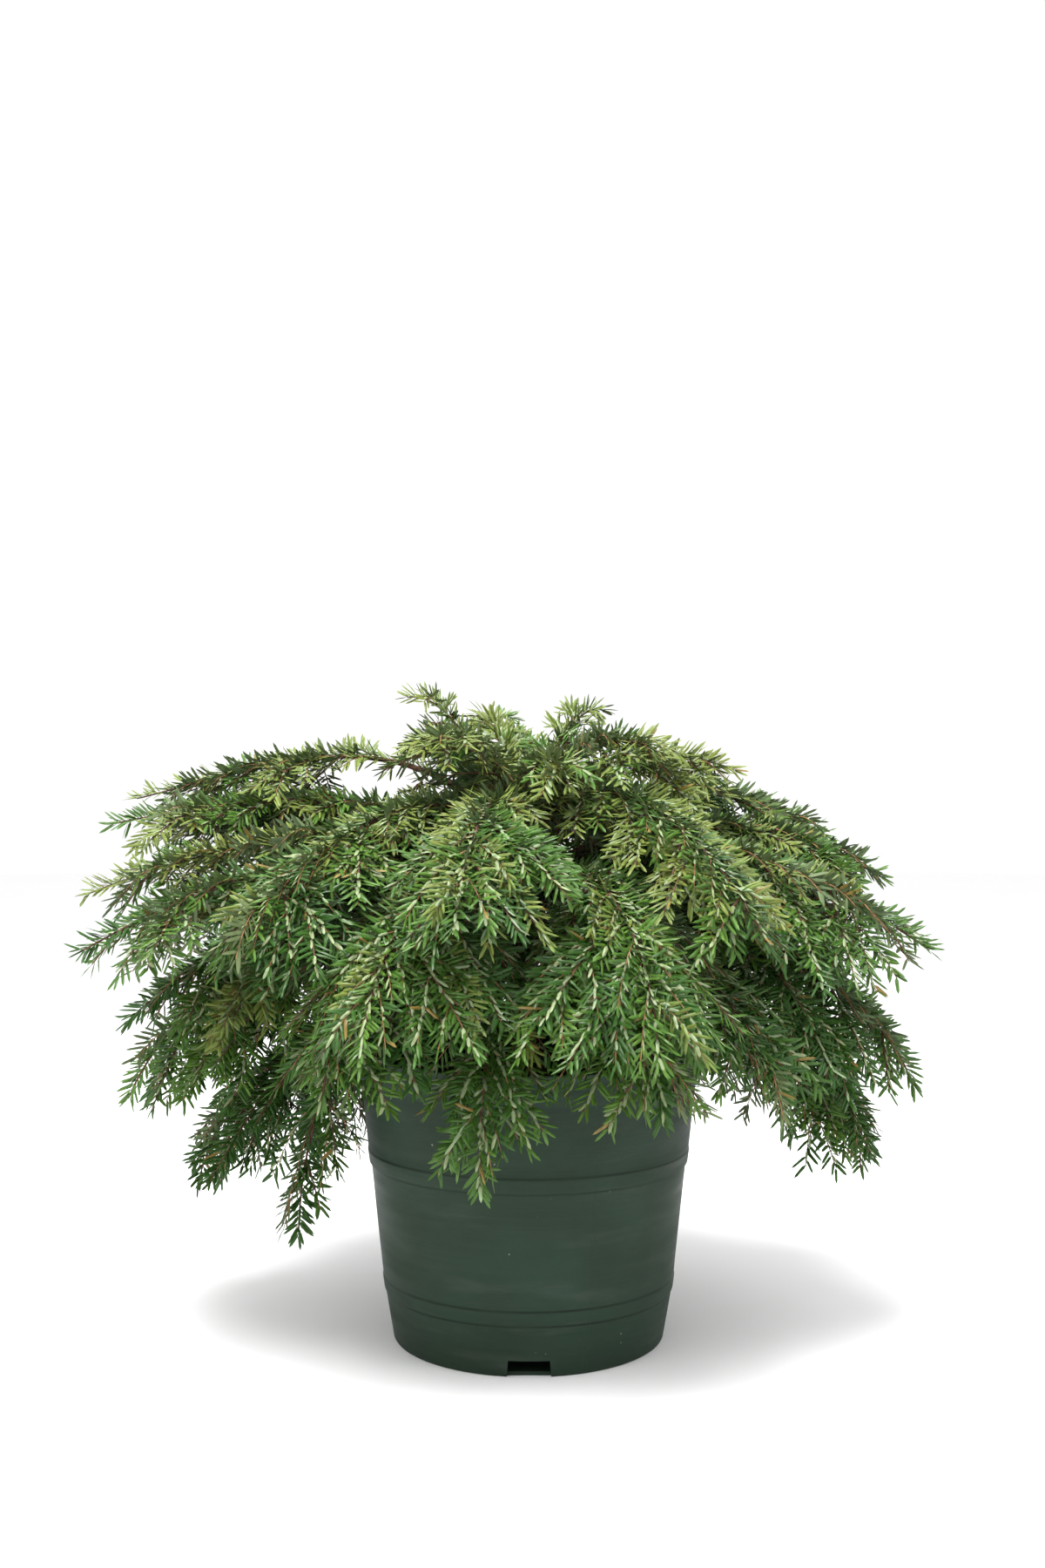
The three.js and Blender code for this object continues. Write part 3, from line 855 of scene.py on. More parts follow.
def grown_bough(owner, bough):
    """A bough's twigs: its stem, its sprays with their shoots, its crest and its inner twigs."""
    random = np.random.default_rng(bough.seed)
    share = SHARE_GROWN.get(bough.name, 1)
    turn = math.radians(NEEDLE_TURNS_DEG.get(bough.name, 0))
    yield Stem(bough).dyed(deal_tint(height_on(bough, STEM_TINT_PLACE), random), turn)
    for place, aim, length, partner in sprays_of(bough):
        if is_open(bough, place) or (partner and bough.name in LONE_SPRAYS):
            continue
        length = length * SPRAY_WIDTHS.get(bough.name, 1)
        lateral = fitted_spray(aim, length, owner, -PARTNER_SLACK if partner else SPACE_MARGIN)
        if lateral is None:
            continue
        tint = deal_tint(height_on(lateral, SPRAY_TINT_PLACE), random)
        yield lateral.dyed(tint, turn)
        for _, shoot in shoots_of(lateral, random):
            if trimmed_to_fit(shoot, owner) and random.random() < share:
                yield shoot.dyed(tint, turn)
    for shoot in crest_of(bough, random):
        if trimmed_to_fit(shoot, owner) and random.random() < share:
            # Crest shoots are tinted as if higher up: paler tints as painted light on the top of
            # the bough
            yield shoot.dyed(deal_tint(shoot.point[2] + CREST_PAINTED_LIGHT_RISE, random))
    for twig in inner_twigs_of(bough, random):
        if trimmed_to_fit(twig, owner):
            height = twig.point[2]
            # Below INNER_LIGHT the inner twigs take the deep tint: painted shade for the dark
            # inside of the crown
            yield twig.dyed(deal_tint(height, random) if height > INNER_LIGHT else "deep")


@functools.cache
def grown_crown():
    """Every twig of the crown, bough by bough."""
    return [twig for owner, bough in enumerate(BOUGHS) for twig in grown_bough(owner, bough)]


# Meshes


def mesh_of(name, bm):
    """A mesh from a bmesh, which is freed."""
    mesh = bpy.data.meshes.new(name)
    bm.to_mesh(mesh)
    bm.free()
    return mesh


def placed(name, data):
    """A new object in the scene, at the origin."""
    thing = bpy.data.objects.new(name, data)
    bpy.context.scene.collection.objects.link(thing)
    return thing


def finished_piece(name, mesh, materials, replaced=()):
    """An object with its materials, which rides on the plant's one body in place of the parts it
    hides.
    """
    piece = placed(name, mesh)
    for material in materials:
        mesh.materials.append(material)
    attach(piece, BODY)
    if replaced:
        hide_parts(*replaced)
    return piece


def bmesh_piece(name, bm, material, replaced, sharp_deg):
    """A piece from a bmesh, smooth but for edges sharper than an angle."""
    mesh = mesh_of(name, bm)
    mesh.shade_smooth()
    mesh.set_sharp_from_angle(angle=math.radians(sharp_deg))
    return finished_piece(name, mesh, [material], replaced)


def joined_mesh(name, points, triangles, smooth, second_material=None):
    """One mesh of many small shapes, from arrays in millimetres."""
    mesh = bpy.data.meshes.new(name)
    count = len(triangles)
    mesh.vertices.add(len(points))
    mesh.vertices.foreach_set("co", (points * MM).astype(np.float32).ravel())
    mesh.loops.add(3 * count)
    mesh.loops.foreach_set("vertex_index", triangles.astype(np.int32).ravel())
    mesh.polygons.add(count)
    mesh.polygons.foreach_set("loop_start", np.arange(0, 3 * count, 3, dtype=np.int32))
    mesh.polygons.foreach_set("use_smooth", np.full(count, smooth))
    if second_material is not None:
        mesh.polygons.foreach_set("material_index", second_material.astype(np.int32))
    mesh.update(calc_edges=True)
    mesh.validate()
    return mesh


def turned(profile, steps):
    """A bmesh of a profile of (radius, height), turned once round the Z axis."""
    bm = bmesh.new()
    verts = [bm.verts.new((radius * MM, 0, height * MM)) for radius, height in profile]
    edges = [bm.edges.new(pair) for pair in zip(verts, verts[1:])]
    bmesh.ops.spin(
        bm,
        geom=verts + edges,
        cent=(0, 0, 0),
        axis=(0, 0, 1),
        angle=2 * math.pi,
        steps=steps,
        use_merge=True,
    )
    bmesh.ops.remove_doubles(bm, verts=bm.verts, dist=WELD * MM)
    bmesh.ops.recalc_face_normals(bm, faces=bm.faces)
    return bm


def bark_tube(bm, rows, radii, sides, relief):
    """Adds a closed limb with bark relief: a grid rolled round rows of points and axes."""
    points, _, across, up = rows
    steps = len(points) - 1
    verts = bmesh.ops.create_grid(bm, x_segments=sides, y_segments=steps, size=1)["verts"]
    for vert in verts:
        k = round((vert.co.x + 1) / 2 * sides) % sides
        i = round((vert.co.y + 1) / 2 * steps)
        turn = 2 * math.pi * k / sides
        outward = across[i] * math.cos(turn) + up[i] * math.sin(turn)
        radius = radii[i] * relief(points[i], outward, turn)
        vert.co = Vector((points[i] + outward * radius) * MM)
    bmesh.ops.remove_doubles(bm, verts=verts, dist=LIMB_WELD * MM)
    verts = [vert for vert in verts if vert.is_valid]
    rims = {edge for vert in verts for edge in vert.link_edges if edge.is_boundary}
    bmesh.ops.holes_fill(bm, edges=list(rims), sides=0)


def plates(place, octaves):
    """Bark plates at a place, as a share of the radius: lumps and finer lumps on them."""
    return sum(depth * noise.noise(place * finer) for finer, depth in octaves)


# Shader maths


def plug(tree, socket, value):
    """Links a value to a socket, or sets the socket to a plain number, vector or colour."""
    if isinstance(value, Value):
        tree.links.new(value.socket, socket)
    else:
        socket.default_value = value


class Value:
    """A socket in a node tree, so that maths on it is written as plain expressions."""

    def __init__(self, tree, socket):
        self.tree = tree
        self.socket = socket

    def maths(self, operation, *others):
        node = self.tree.nodes.new("ShaderNodeMath")
        node.operation = operation
        for socket, value in zip(node.inputs, others):
            plug(self.tree, socket, value)
        return Value(self.tree, node.outputs[0])

    def __add__(self, other):
        return self.maths("ADD", self, other)

    def __mul__(self, other):
        return self.maths("MULTIPLY", self, other)

    def __sub__(self, other):
        return self.maths("SUBTRACT", self, other)

    def __rsub__(self, other):
        return self.maths("SUBTRACT", other, self)

    def __abs__(self):
        return self.maths("ABSOLUTE", self)

    __radd__ = __add__
    __rmul__ = __mul__

    def rise(self, low, high):
        """0 below low, 1 above high, and smooth between them."""
        node = self.tree.nodes.new("ShaderNodeMapRange")
        node.interpolation_type = "SMOOTHSTEP"
        self.tree.links.new(self.socket, node.inputs["Value"])
        node.inputs["From Min"].default_value = low
        node.inputs["From Max"].default_value = high
        return Value(self.tree, node.outputs["Result"])

    def line(self, inner_mm, outer_mm):
        """1 within a distance of where the value is 0, and 0 beyond another."""
        return 1 - abs(self).rise(inner_mm * MM, outer_mm * MM)


class Finish:
    """A material with one Principled shader, and its patterns on Object coordinates."""

    def __init__(self, name, roughness, specular):
        self.material = bpy.data.materials.new(name)
        self.material.use_nodes = True
        self.tree = self.material.node_tree
        self.shader = self.tree.nodes["Principled BSDF"]
        self.shader.inputs["Roughness"].default_value = roughness
        self.shader.inputs["Specular IOR Level"].default_value = specular
        self.place = self.node("ShaderNodeTexCoord")["Object"]

    def node(self, kind, **values):
        """Adds a node, sets or links its sockets, and returns its outputs by name."""
        node = self.tree.nodes.new(kind)
        for key, value in values.items():
            plug(self.tree, node.inputs[key], value)
        return {output.name: Value(self.tree, output) for output in node.outputs if output.enabled}

    def noise(self, size_mm, detail=2, stretch=(1, 1, 1), shift=0, levels=None):
        """Noise from 0 to 1 in lumps of about one size, longer where stretched.

        With levels it is 0 below the first, 1 above the second, and smooth between them.
        """
        scale = [1 / (size_mm * MM * longer) for longer in stretch]
        moved = self.node(
            "ShaderNodeMapping", Vector=self.place, Location=(shift, shift, shift), Scale=scale
        )["Vector"]
        lumps = self.node("ShaderNodeTexNoise", Vector=moved, Scale=1.0, Detail=detail)["Fac"]
        return lumps.rise(*levels) if levels else lumps

    def mix(self, share, first, second):
        """A colour between two, which are plain colours or values."""
        node = self.tree.nodes.new("ShaderNodeMix")
        node.data_type = "RGBA"
        ends = [end if isinstance(end, Value) else (*end, 1) for end in (first, second)]
        for index, value in zip((0, 6, 7), (share, *ends)):
            plug(self.tree, node.inputs[index], value)
        return Value(self.tree, node.outputs[2])

    def coat(self, colour, *coats):
        """Feeds the base colour: a colour with coats over it, each a share and a colour."""
        for share, over in coats:
            colour = self.mix(share, colour, over)
        self.feed("Base Color", colour)

    def feed(self, socket, value):
        self.tree.links.new(value.socket, self.shader.inputs[socket])

    def bump(self, height, depth_mm):
        bump = self.node("ShaderNodeBump", Height=height, Strength=1.0, Distance=depth_mm * MM)
        self.feed("Normal", bump["Normal"])


def times(colour, shares):
    """A colour with each channel times its own share, or all times one."""
    return tuple(float(channel) for channel in np.multiply(colour, shares))


def pot_finish(colours):
    """Blow-moulded plastic: mottled and streaked, with dark lines of painted shade in the moulded
    steps, painted shade darker towards the foot, a mould seam, dust and pale mineral specks."""
    finish = Finish("pot_green_plastic", roughness=0.5, specular=0.09)
    base = tuple(colours.pot)
    axes = finish.node("ShaderNodeSeparateXYZ", Vector=finish.place)
    mottle = finish.noise(60, detail=3, stretch=(1, 1, 0.7), levels=(0.35, 0.66))
    streak = finish.noise(9, detail=3, stretch=(9, 9, 0.22), shift=3, levels=(0.3, 0.72))
    # Painted shade: the pot goes darker towards its foot, near the floor
    low = 1 - axes["Z"].rise(0, 50 * MM)
    cells = finish.node(
        "ShaderNodeTexVoronoi", Vector=finish.place, Scale=1 / (SPECK_GAP * MM), Randomness=1.0
    )["Distance"]
    patches = finish.noise(24, shift=7, levels=(0.6, 0.72))
    specks = (1 - cells.rise(0.05, 0.11)) * patches
    dust = finish.noise(30, detail=4, stretch=(2.4, 2.4, 0.5), shift=11, levels=(0.56, 0.78))
    # Painted shade: thin dark lines just above the foot and the top of each moulded ring, where its
    # step throws shade
    steps = [band["foot"] + STEP_SHADE_LINES["above_foot"] for band in RINGS]
    steps += [band["foot"] + band["height"] + STEP_SHADE_LINES["above_top"] for band in RINGS]
    step_shades = [(axes["Z"] - step * MM).line(STEP_SHADE_LINES["inner"], STEP_SHADE_LINES["outer"]) for step in steps]
    finish.coat(
        finish.mix(mottle, times(base, 0.9), times(base, (1.02, 1.12, 1.16))),
        (streak * 0.22, times(base, (1.5, 1.22, 1.2))),
        # painted shade towards the foot
        (low * 0.3, times(base, 0.72)),
        (specks * 0.6, MINERAL_SPECKS),
        (dust * 0.09, DUST),
        # painted shade in the moulded steps
        *((line * (0.3 + mottle * 0.45), times(base, 0.3)) for line in step_shades),
    )
    rough = finish.noise(22, detail=3, stretch=(3, 3, 0.5), shift=5, levels=(0.25, 0.75))
    finish.feed("Roughness", 0.44 + rough * 0.16 + dust * 0.1)
    turn = math.radians(-90 + colours.seam_deg)
    across_seam = axes["X"] * -math.sin(turn) + axes["Y"] * math.cos(turn)
    seam = across_seam.line(SEAM["inner"], SEAM["outer"])
    grain = finish.noise(1.4, shift=2)
    finish.bump(grain * 0.3 + streak * 0.4 + seam * 1.2, depth_mm=0.12)
    return finish.material


def soil_finish(colours, name, lighter):
    """Composted bark: dark crumbs with a few paler and redder bits."""
    finish = Finish(name, roughness=0.92, specular=0.25)
    base = times(colours.soil, lighter)
    crumbs = finish.noise(3, detail=4)
    bits = finish.noise(7, shift=4, levels=(0.55, 0.7))
    finish.coat(
        finish.mix(crumbs.rise(0.3, 0.7), times(base, 0.55), times(base, 1.5)),
        (bits * 0.6, times(base, (3.2, 2.4, 1.9))),
    )
    finish.bump(crumbs, depth_mm=1)
    return finish.material


def bark_finish(colours):
    """Old bark: grey-brown scales over a redder layer, with some lichen grey."""
    finish = Finish("hemlock_bark", roughness=0.88, specular=0.3)
    base = tuple(colours.bark)
    scales = finish.noise(3.2, detail=5, stretch=(1, 1, 2.6))
    depth = scales.rise(0.36, 0.62)
    grey = finish.noise(14, detail=3, shift=6, levels=(0.5, 0.68))
    finish.coat(
        finish.mix(depth, times(base, (0.5, 0.36, 0.3)), base),
        (grey * depth * 0.6, LICHEN_GREY),
    )
    finish.bump(scales, depth_mm=0.5)
    return finish.material


def twig_finish(name, colour):
    """Young bark: fine ridges and patches of darker and lighter brown."""
    finish = Finish(name, roughness=0.8, specular=0.25)
    patches = finish.noise(6, detail=3, levels=(0.32, 0.68))
    finish.coat(finish.mix(patches, times(colour, 0.6), times(colour, 1.25)))
    finish.bump(finish.noise(0.9, shift=3), depth_mm=0.15)
    return finish.material


def needle_finish(name, colour, rough, specular):
    """Waxy needles: a tint that goes lighter, darker and warmer from needle to needle."""
    finish = Finish(name, rough, specular)
    shade = finish.noise(8, levels=(0.25, 0.75))
    drift = finish.noise(38, shift=9, levels=(0.3, 0.7))
    finish.coat(
        finish.mix(shade, times(colour, 0.66), times(colour, 1.36)),
        (drift * 0.55, times(colour, (1.3, 1.08, 0.84))),
    )
    finish.feed("Roughness", between(rough - 0.06, rough + 0.1, shade))
    return finish.material


# Settings


def colour_setting(name, description, default):
    return bpy.props.FloatVectorProperty(
        name=name, description=description, default=default, subtype="COLOR", min=0, max=1
    )


def length_setting(name, description, default_mm):
    return bpy.props.FloatProperty(
        name=name, description=description, default=default_mm * MM, unit="LENGTH", min=0
    )


def power_setting(name, description, default):
    return bpy.props.FloatProperty(
        name=name, description=description, default=default, unit="POWER"
    )


class HemlockColours(bpy.types.PropertyGroup):
    """The plant's and the pot's colours, as linear light, and the place of the mould seam."""

    pot: colour_setting("Pot", "Plastic of the pot", (0.017, 0.0308, 0.0197))
    soil: colour_setting("Soil", "Composted bark", (0.026, 0.017, 0.012))
    bark: colour_setting("Bark", "Trunk and boughs", (0.105, 0.056, 0.036))
    old_twig: colour_setting("Old twigs", "Side twigs near the boughs", (0.12, 0.062, 0.036))
    young_twig: colour_setting("Young twigs", "Shoots of two years", (0.26, 0.13, 0.06))
    # deep is partly painted shade and olive partly painted light, as tints are dealt by height
    deep: colour_setting("Deep needles", "Shaded, deep green sprays", (0.02, 0.065, 0.008))
    mid: colour_setting("Middle needles", "Most of the low sprays", (0.034, 0.09, 0.011))
    fresh: colour_setting("Fresh needles", "Bright green sprays", (0.051, 0.121, 0.016))
    olive: colour_setting("Olive needles", "Sunned sprays near the top", (0.108, 0.152, 0.032))
    yellowed: colour_setting("Yellowed needles", "Single old needles", (0.16, 0.12, 0.032))
    pale: colour_setting("Pale needles", "Short ones, underside up", (0.17, 0.228, 0.12))
    underside: colour_setting("Underside", "Underside of the needles", (0.098, 0.143, 0.067))
    seam_deg: bpy.props.FloatProperty(
        name="Seam", description="Turn of the mould seam from the front, in degrees", default=23
    )


class HemlockNeedles(bpy.types.PropertyGroup):
    """Size and spacing of the needles."""

    length: length_setting("Length", "Length of a needle", 13.5)
    width: length_setting("Width", "Width of a needle", 2.1)
    pitch: length_setting("Pitch", "Distance between needles on one side of a shoot", 2.7)
    seed: bpy.props.IntProperty(name="Seed", description="Start of the random numbers", default=5)


class HemlockStage(bpy.types.PropertyGroup):
    """Floor and light."""

    floor: colour_setting("Floor", "Colour of the floor", (0.93, 0.93, 0.93))
    surround: bpy.props.FloatProperty(
        name="Surround", description="Light from all around", default=1.05
    )
    key: power_setting("Key", "Softbox overhead", 52)
    fill: power_setting("Fill", "Softboxes in front", 6)


# Operators


class HEMLOCK_OT_stage(bpy.types.Operator):
    """Adds the floor, the soft light and the camera"""

    bl_idname = "hemlock.stage"
    bl_label = "Stage"

    def execute(self, context):
        settings = context.scene.hemlock_stage
        self.add_floor(settings)
        self.add_light(context, settings)
        self.add_camera(context)
        context.scene.view_settings.view_transform = "Standard"
        return {"FINISHED"}

    def add_floor(self, settings):
        bm = bmesh.new()
        bmesh.ops.create_circle(bm, cap_ends=True, segments=96, radius=FLOOR_RADIUS)
        mesh = mesh_of("floor", bm)
        finish = Finish("pale_floor", roughness=0.8, specular=0.1)
        base = tuple(settings.floor)
        finish.coat(finish.mix(finish.noise(400), times(base, 0.98), base))
        mesh.materials.append(finish.material)
        placed("floor", mesh)

    def add_light(self, context, settings):
        world = bpy.data.worlds.new("studio")
        world.use_nodes = True
        background = world.node_tree.nodes["Background"]
        background.inputs["Color"].default_value = (1, 1, 1, 1)
        background.inputs["Strength"].default_value = settings.surround
        context.scene.world = world
        for name, place, size, power in SOFTBOXES:
            light = bpy.data.lights.new(name, "AREA")
            light.shape = "DISK"
            light.size = size
            light.energy = getattr(settings, power)
            aim = (Vector(LIGHT_AIM) - Vector(place)).to_track_quat("-Z", "Y")
            placed(name, light).matrix_world = Matrix.LocRotScale(Vector(place), aim, None)

    def add_camera(self, context):
        camera = bpy.data.cameras.new("camera")
        camera.sensor_fit = "VERTICAL"
        camera.sensor_height = SENSOR
        camera.lens = SENSOR * FOCAL_PIXELS / PICTURE_HEIGHT
        camera.clip_start = NEAREST * MM
        viewer = placed("camera", camera)
        place = Matrix.Translation(Vector(CAMERA_PLACE) * MM)
        viewer.matrix_world = place @ Matrix.Rotation(math.pi / 2, 4, "X")
        context.scene.camera = viewer


class HEMLOCK_OT_pot(bpy.types.Operator):
    """Turns the nursery pot from its profile and cuts its drain notches"""

    bl_idname = "hemlock.pot"
    bl_label = "Pot"

    def execute(self, context):
        bm = turned(self.profile(), POT_TURN_STEPS)
        self.round_edges(bm)
        self.wave_walls(bm)
        finish = pot_finish(context.scene.hemlock_colours)
        pot = bmesh_piece("nursery_pot", bm, finish, ["pot"], sharp_deg=55)
        self.cut_notches(pot)
        return {"FINISHED"}

    def profile(self):
        """Underside, outside in even rows, lip, inside and the top of the floor."""
        outside = pot_outside()
        rows = []
        for (r0, z0), (r1, z1) in zip(outside, outside[1:]):
            count = max(1, math.ceil((z1 - z0) / WALL_ROW_HEIGHT))
            shares = [k / count for k in range(count)]
            rows += [(between(r0, r1, share), between(z0, z1, share)) for share in shares]
        rounding = LIP["rounding"]
        inner = RIM_RADIUS - POT_WALL - LIP["swell"]
        lip = [
            (RIM_RADIUS, POT_HEIGHT - rounding),
            (RIM_RADIUS - rounding, POT_HEIGHT),
            (inner, POT_HEIGHT),
            (inner - rounding, POT_HEIGHT - rounding),
        ]
        inside = [(float(inside_radius(height)), height) for height in INSIDE_HEIGHTS]
        return [(0, 0), (BOTTOM_RADIUS, 0), *rows, *lip, *inside, (0, POT_FLOOR)]

    def round_edges(self, bm):
        """Rounds the edges of the moulded rings and of the rim band."""
        heights = [RIM_BAND["foot"], RIM_BAND["neck"]]
        for band in RINGS:
            heights += [band["foot"] + STEP_OUT_HEIGHT, band["foot"] + band["height"]]

        def runs_at(edge, height):
            return all(abs(vert.co.z / MM - height) < EDGE_TOLERANCE for vert in edge.verts)

        def is_outside(vert):
            radius = math.hypot(vert.co.x, vert.co.y) / MM
            return radius > radius_at(vert.co.z / MM) - EDGE_ROUNDING

        edges = [
            edge
            for edge in bm.edges
            if any(runs_at(edge, height) for height in heights)
            and all(is_outside(vert) for vert in edge.verts)
        ]
        bmesh.ops.bevel(
            bm,
            geom=edges,
            offset=EDGE_ROUNDING * MM,
            segments=2,
            affect="EDGES",
            profile=0.5,
            material=-1,
        )

    def wave_walls(self, bm):
        """Gives the blown wall its faint waviness, less at the foot and at the lip."""
        foot, fade = WALL_WAVE["foot"], WALL_WAVE["fade"]
        for vert in bm.verts:
            height = vert.co.z / MM
            radius = math.hypot(vert.co.x, vert.co.y)
            if height < foot or radius < WALL_INNERMOST * FOOT_RADIUS * MM:
                continue
            x, y, z = vert.co / (WALL_WAVE["size"] * MM)
            wave = noise.noise(Vector((x, y, z * WALL_WAVE["squeeze"] + WALL_WAVE["shift"])))
            room = min(1, (POT_HEIGHT - height) / fade, (height - foot) / fade)
            wider = 1 + wave * room * WALL_WAVE["depth"] * MM / radius
            vert.co *= Vector((wider, wider, 1))

    def cut_notches(self, pot):
        width, height, depth = NOTCH["width"], NOTCH["height"], NOTCH["depth"]
        bm = bmesh.new()
        for k in range(NOTCH["count"]):
            made = bmesh.ops.create_cube(bm, size=1)["verts"]
            bmesh.ops.scale(bm, verts=made, vec=Vector((width, depth, 2 * height)) * MM)
            feet = [vert for vert in made if vert.co.z < 0]
            bmesh.ops.scale(bm, verts=feet, vec=((width + NOTCH["flare"]) / width, 1, 1))
            out = Vector((0, -FOOT_RADIUS - NOTCH["outset"], 0)) * MM
            bmesh.ops.translate(bm, verts=made, vec=out)
            turn = Matrix.Rotation(2 * math.pi * k / NOTCH["count"], 3, "Z")
            bmesh.ops.rotate(bm, verts=made, cent=(0, 0, 0), matrix=turn)
        cutter = placed("notches", mesh_of("notches", bm))
        cut = pot.modifiers.new("notches", "BOOLEAN")
        cut.operation = "DIFFERENCE"
        cut.solver = "EXACT"
        cut.object = cutter
        graph = bpy.context.evaluated_depsgraph_get()
        result = bpy.data.meshes.new_from_object(pot.evaluated_get(graph))
        pot.modifiers.remove(cut)
        pot.data = result
        bpy.data.objects.remove(cutter)


class HEMLOCK_OT_soil(bpy.types.Operator):
    """Fills the pot with potting soil and strews bark chips over it"""

    bl_idname = "hemlock.soil"
    bl_label = "Potting soil"

    def execute(self, context):
        colours = context.scene.hemlock_colours
        soil = soil_finish(colours, "potting_soil_mix", 1.0)
        bmesh_piece("potting_soil_bed", self.bed(), soil, ["potting_soil"], sharp_deg=40)
        bark = soil_finish(colours, "bark_chip", 1.9)
        finished_piece("bark_chips", self.chips(), [bark])
        return {"FINISHED"}

    def bed(self):
        """The fill of the pot, up to its crowned and crumbly top."""
        heights = [NOTCH["height"] + SOIL_ABOVE_NOTCH, *(band["foot"] for band in RINGS)]
        side = [(float(inside_radius(height)) - SOIL_GAP, height) for height in heights]
        edge = float(inside_radius(SOIL_TOP)) - SOIL_GAP
        shares = [k / SOIL_RINGS for k in range(SOIL_RINGS, -1, -1)]
        top = [(edge * share, SOIL_TOP + SOIL_CROWN * (1 - share**2)) for share in shares]
        bm = turned([(0, heights[0]), *side, *top], SOIL_TURN_STEPS)
        lowest = SOIL_TOP - SOIL_RELIEF["below_top"]
        widest = edge - SOIL_RELIEF["rim"]
        for vert in bm.verts:
            if vert.co.z / MM > lowest and math.hypot(vert.co.x, vert.co.y) / MM < widest:
                lump = noise.noise(vert.co / (SOIL_RELIEF["size"] * MM))
                vert.co.z += SOIL_RELIEF["depth"] * MM * lump
        return bm

    def chips(self):
        """Flat split chips, each a skewed box, lying every way on the soil."""
        random = np.random.default_rng(CHIP_SEED)
        ends = (-0.5, 0.5)
        corners = np.array([(x, y, z) for x in ends for y in ends for z in ends])
        quads = ((0, 1, 3, 2), (4, 6, 7, 5), (0, 4, 5, 1), (2, 3, 7, 6), (0, 2, 6, 4), (1, 5, 7, 3))
        triangles = np.array([t for a, b, c, d in quads for t in ((a, b, c), (a, c, d))])
        points = []
        room = float(inside_radius(SOIL_TOP)) - CHIP_FROM_WALL
        for _ in range(CHIP_COUNT):
            length = random.uniform(*CHIP_LENGTHS)
            width = random.uniform(*CHIP_WIDTH_SHARES)
            thickness = random.uniform(*CHIP_THICKNESS_SHARES)
            size = length * np.array((1, width, thickness))
            skew = random.uniform(*CHIP_SKEWS, corners.shape)
            turn = np.array(
                Matrix.Rotation(random.uniform(0, CHIP_FULL_TURN), 3, "Z")
                @ Matrix.Rotation(random.normal(0, CHIP_TILT), 3, "X")
                @ Matrix.Rotation(random.normal(0, CHIP_TILT), 3, "Y")
            )
            out = room * math.sqrt(random.uniform(CHIP_INNERMOST, 1))
            azimuth = random.uniform(0, CHIP_FULL_TURN)
            heap = random.uniform(0, CHIP_HEAP)
            height = SOIL_TOP + SOIL_CROWN * (1 - (out / room) ** 2) + heap
            centre = (out * math.cos(azimuth), out * math.sin(azimuth), height)
            points.append(corners * size * skew @ turn.T + centre)
        offsets = np.arange(CHIP_COUNT)[:, None, None] * len(corners)
        faces = (triangles + offsets).reshape(-1, 3)
        return joined_mesh("bark_chips", np.concatenate(points), faces, False)


class HEMLOCK_OT_wood(bpy.types.Operator):
    """Gives the trunk and the boughs their bark"""

    bl_idname = "hemlock.wood"
    bl_label = "Trunk and boughs"

    def execute(self, context):
        bark = bark_finish(context.scene.hemlock_colours)
        limbs = [f"bough_{bough.name}" for bough in BOUGHS if bough.limb]
        for name, add_wood, nodes in (
            ("trunk_bark", self.add_trunk, ["trunk"]),
            ("bough_bark", self.add_boughs, limbs),
        ):
            bm = bmesh.new()
            add_wood(bm)
            bmesh.ops.recalc_face_normals(bm, faces=bm.faces)
            bmesh_piece(name, bm, bark, nodes, sharp_deg=70)
        return {"FINISHED"}

    def add_trunk(self, bm):
        heights = np.arange(TRUNK_FOOT - TRUNK_SUNK, TRUNK_TOP + TRUNK_STEP, TRUNK_STEP)
        points = np.array([trunk_point(height) for height in heights])
        shares, radii = np.array(TRUNK_STATIONS).T
        radii = np.interp((heights - TRUNK_FOOT) / (TRUNK_TOP - TRUNK_FOOT), shares, radii)
        radii[-1] *= TRUNK_END_SHARE
        across, up = (np.tile(axis, (len(points), 1)) for axis in ((1.0, 0, 0), (0, 1.0, 0)))

        def place(point, outward, form):
            return Vector(outward * form["round"] + (0, 0, point[2] / form["height"]))

        def relief(point, outward, turn):
            flare = max(0, 1 - (point[2] - TRUNK_FOOT) / ROOT_LOBES["height"])
            wave = math.cos(ROOT_LOBES["count"] * turn + ROOT_LOBES["turn"])
            lobes = 1 + ROOT_LOBES["depth"] * flare * wave
            scales = plates(place(point, outward, TRUNK_PLATES), TRUNK_PLATES["octaves"])
            ridges = abs(noise.noise(place(point, outward, TRUNK_RIDGES)))
            return lobes * (1 + scales - TRUNK_RIDGES["depth"] * ridges)

        bark_tube(bm, (points, None, across, up), radii, TRUNK_SIDES, relief)

    def add_boughs(self, bm):
        def relief(point, outward, turn):
            place = Vector(point / BOUGH_PLATES["size"] + outward * BOUGH_PLATES["round"])
            return 1 + plates(place, BOUGH_PLATES["octaves"])

        for bough in BOUGHS:
            steps = max(BOUGH_FEWEST_STEPS, round(bough.length / BOUGH_STEP))
            shares = np.linspace(0, 1, steps + 1)
            collar = np.exp(-shares * bough.length / BOUGH_COLLAR["length"])
            radii = bough.drawn_radius(shares) * (1 + BOUGH_COLLAR["depth"] * collar)
            radii[-1] *= BOUGH_END_SHARE
            bark_tube(bm, bough.at(shares), radii, BOUGH_SIDES, relief)


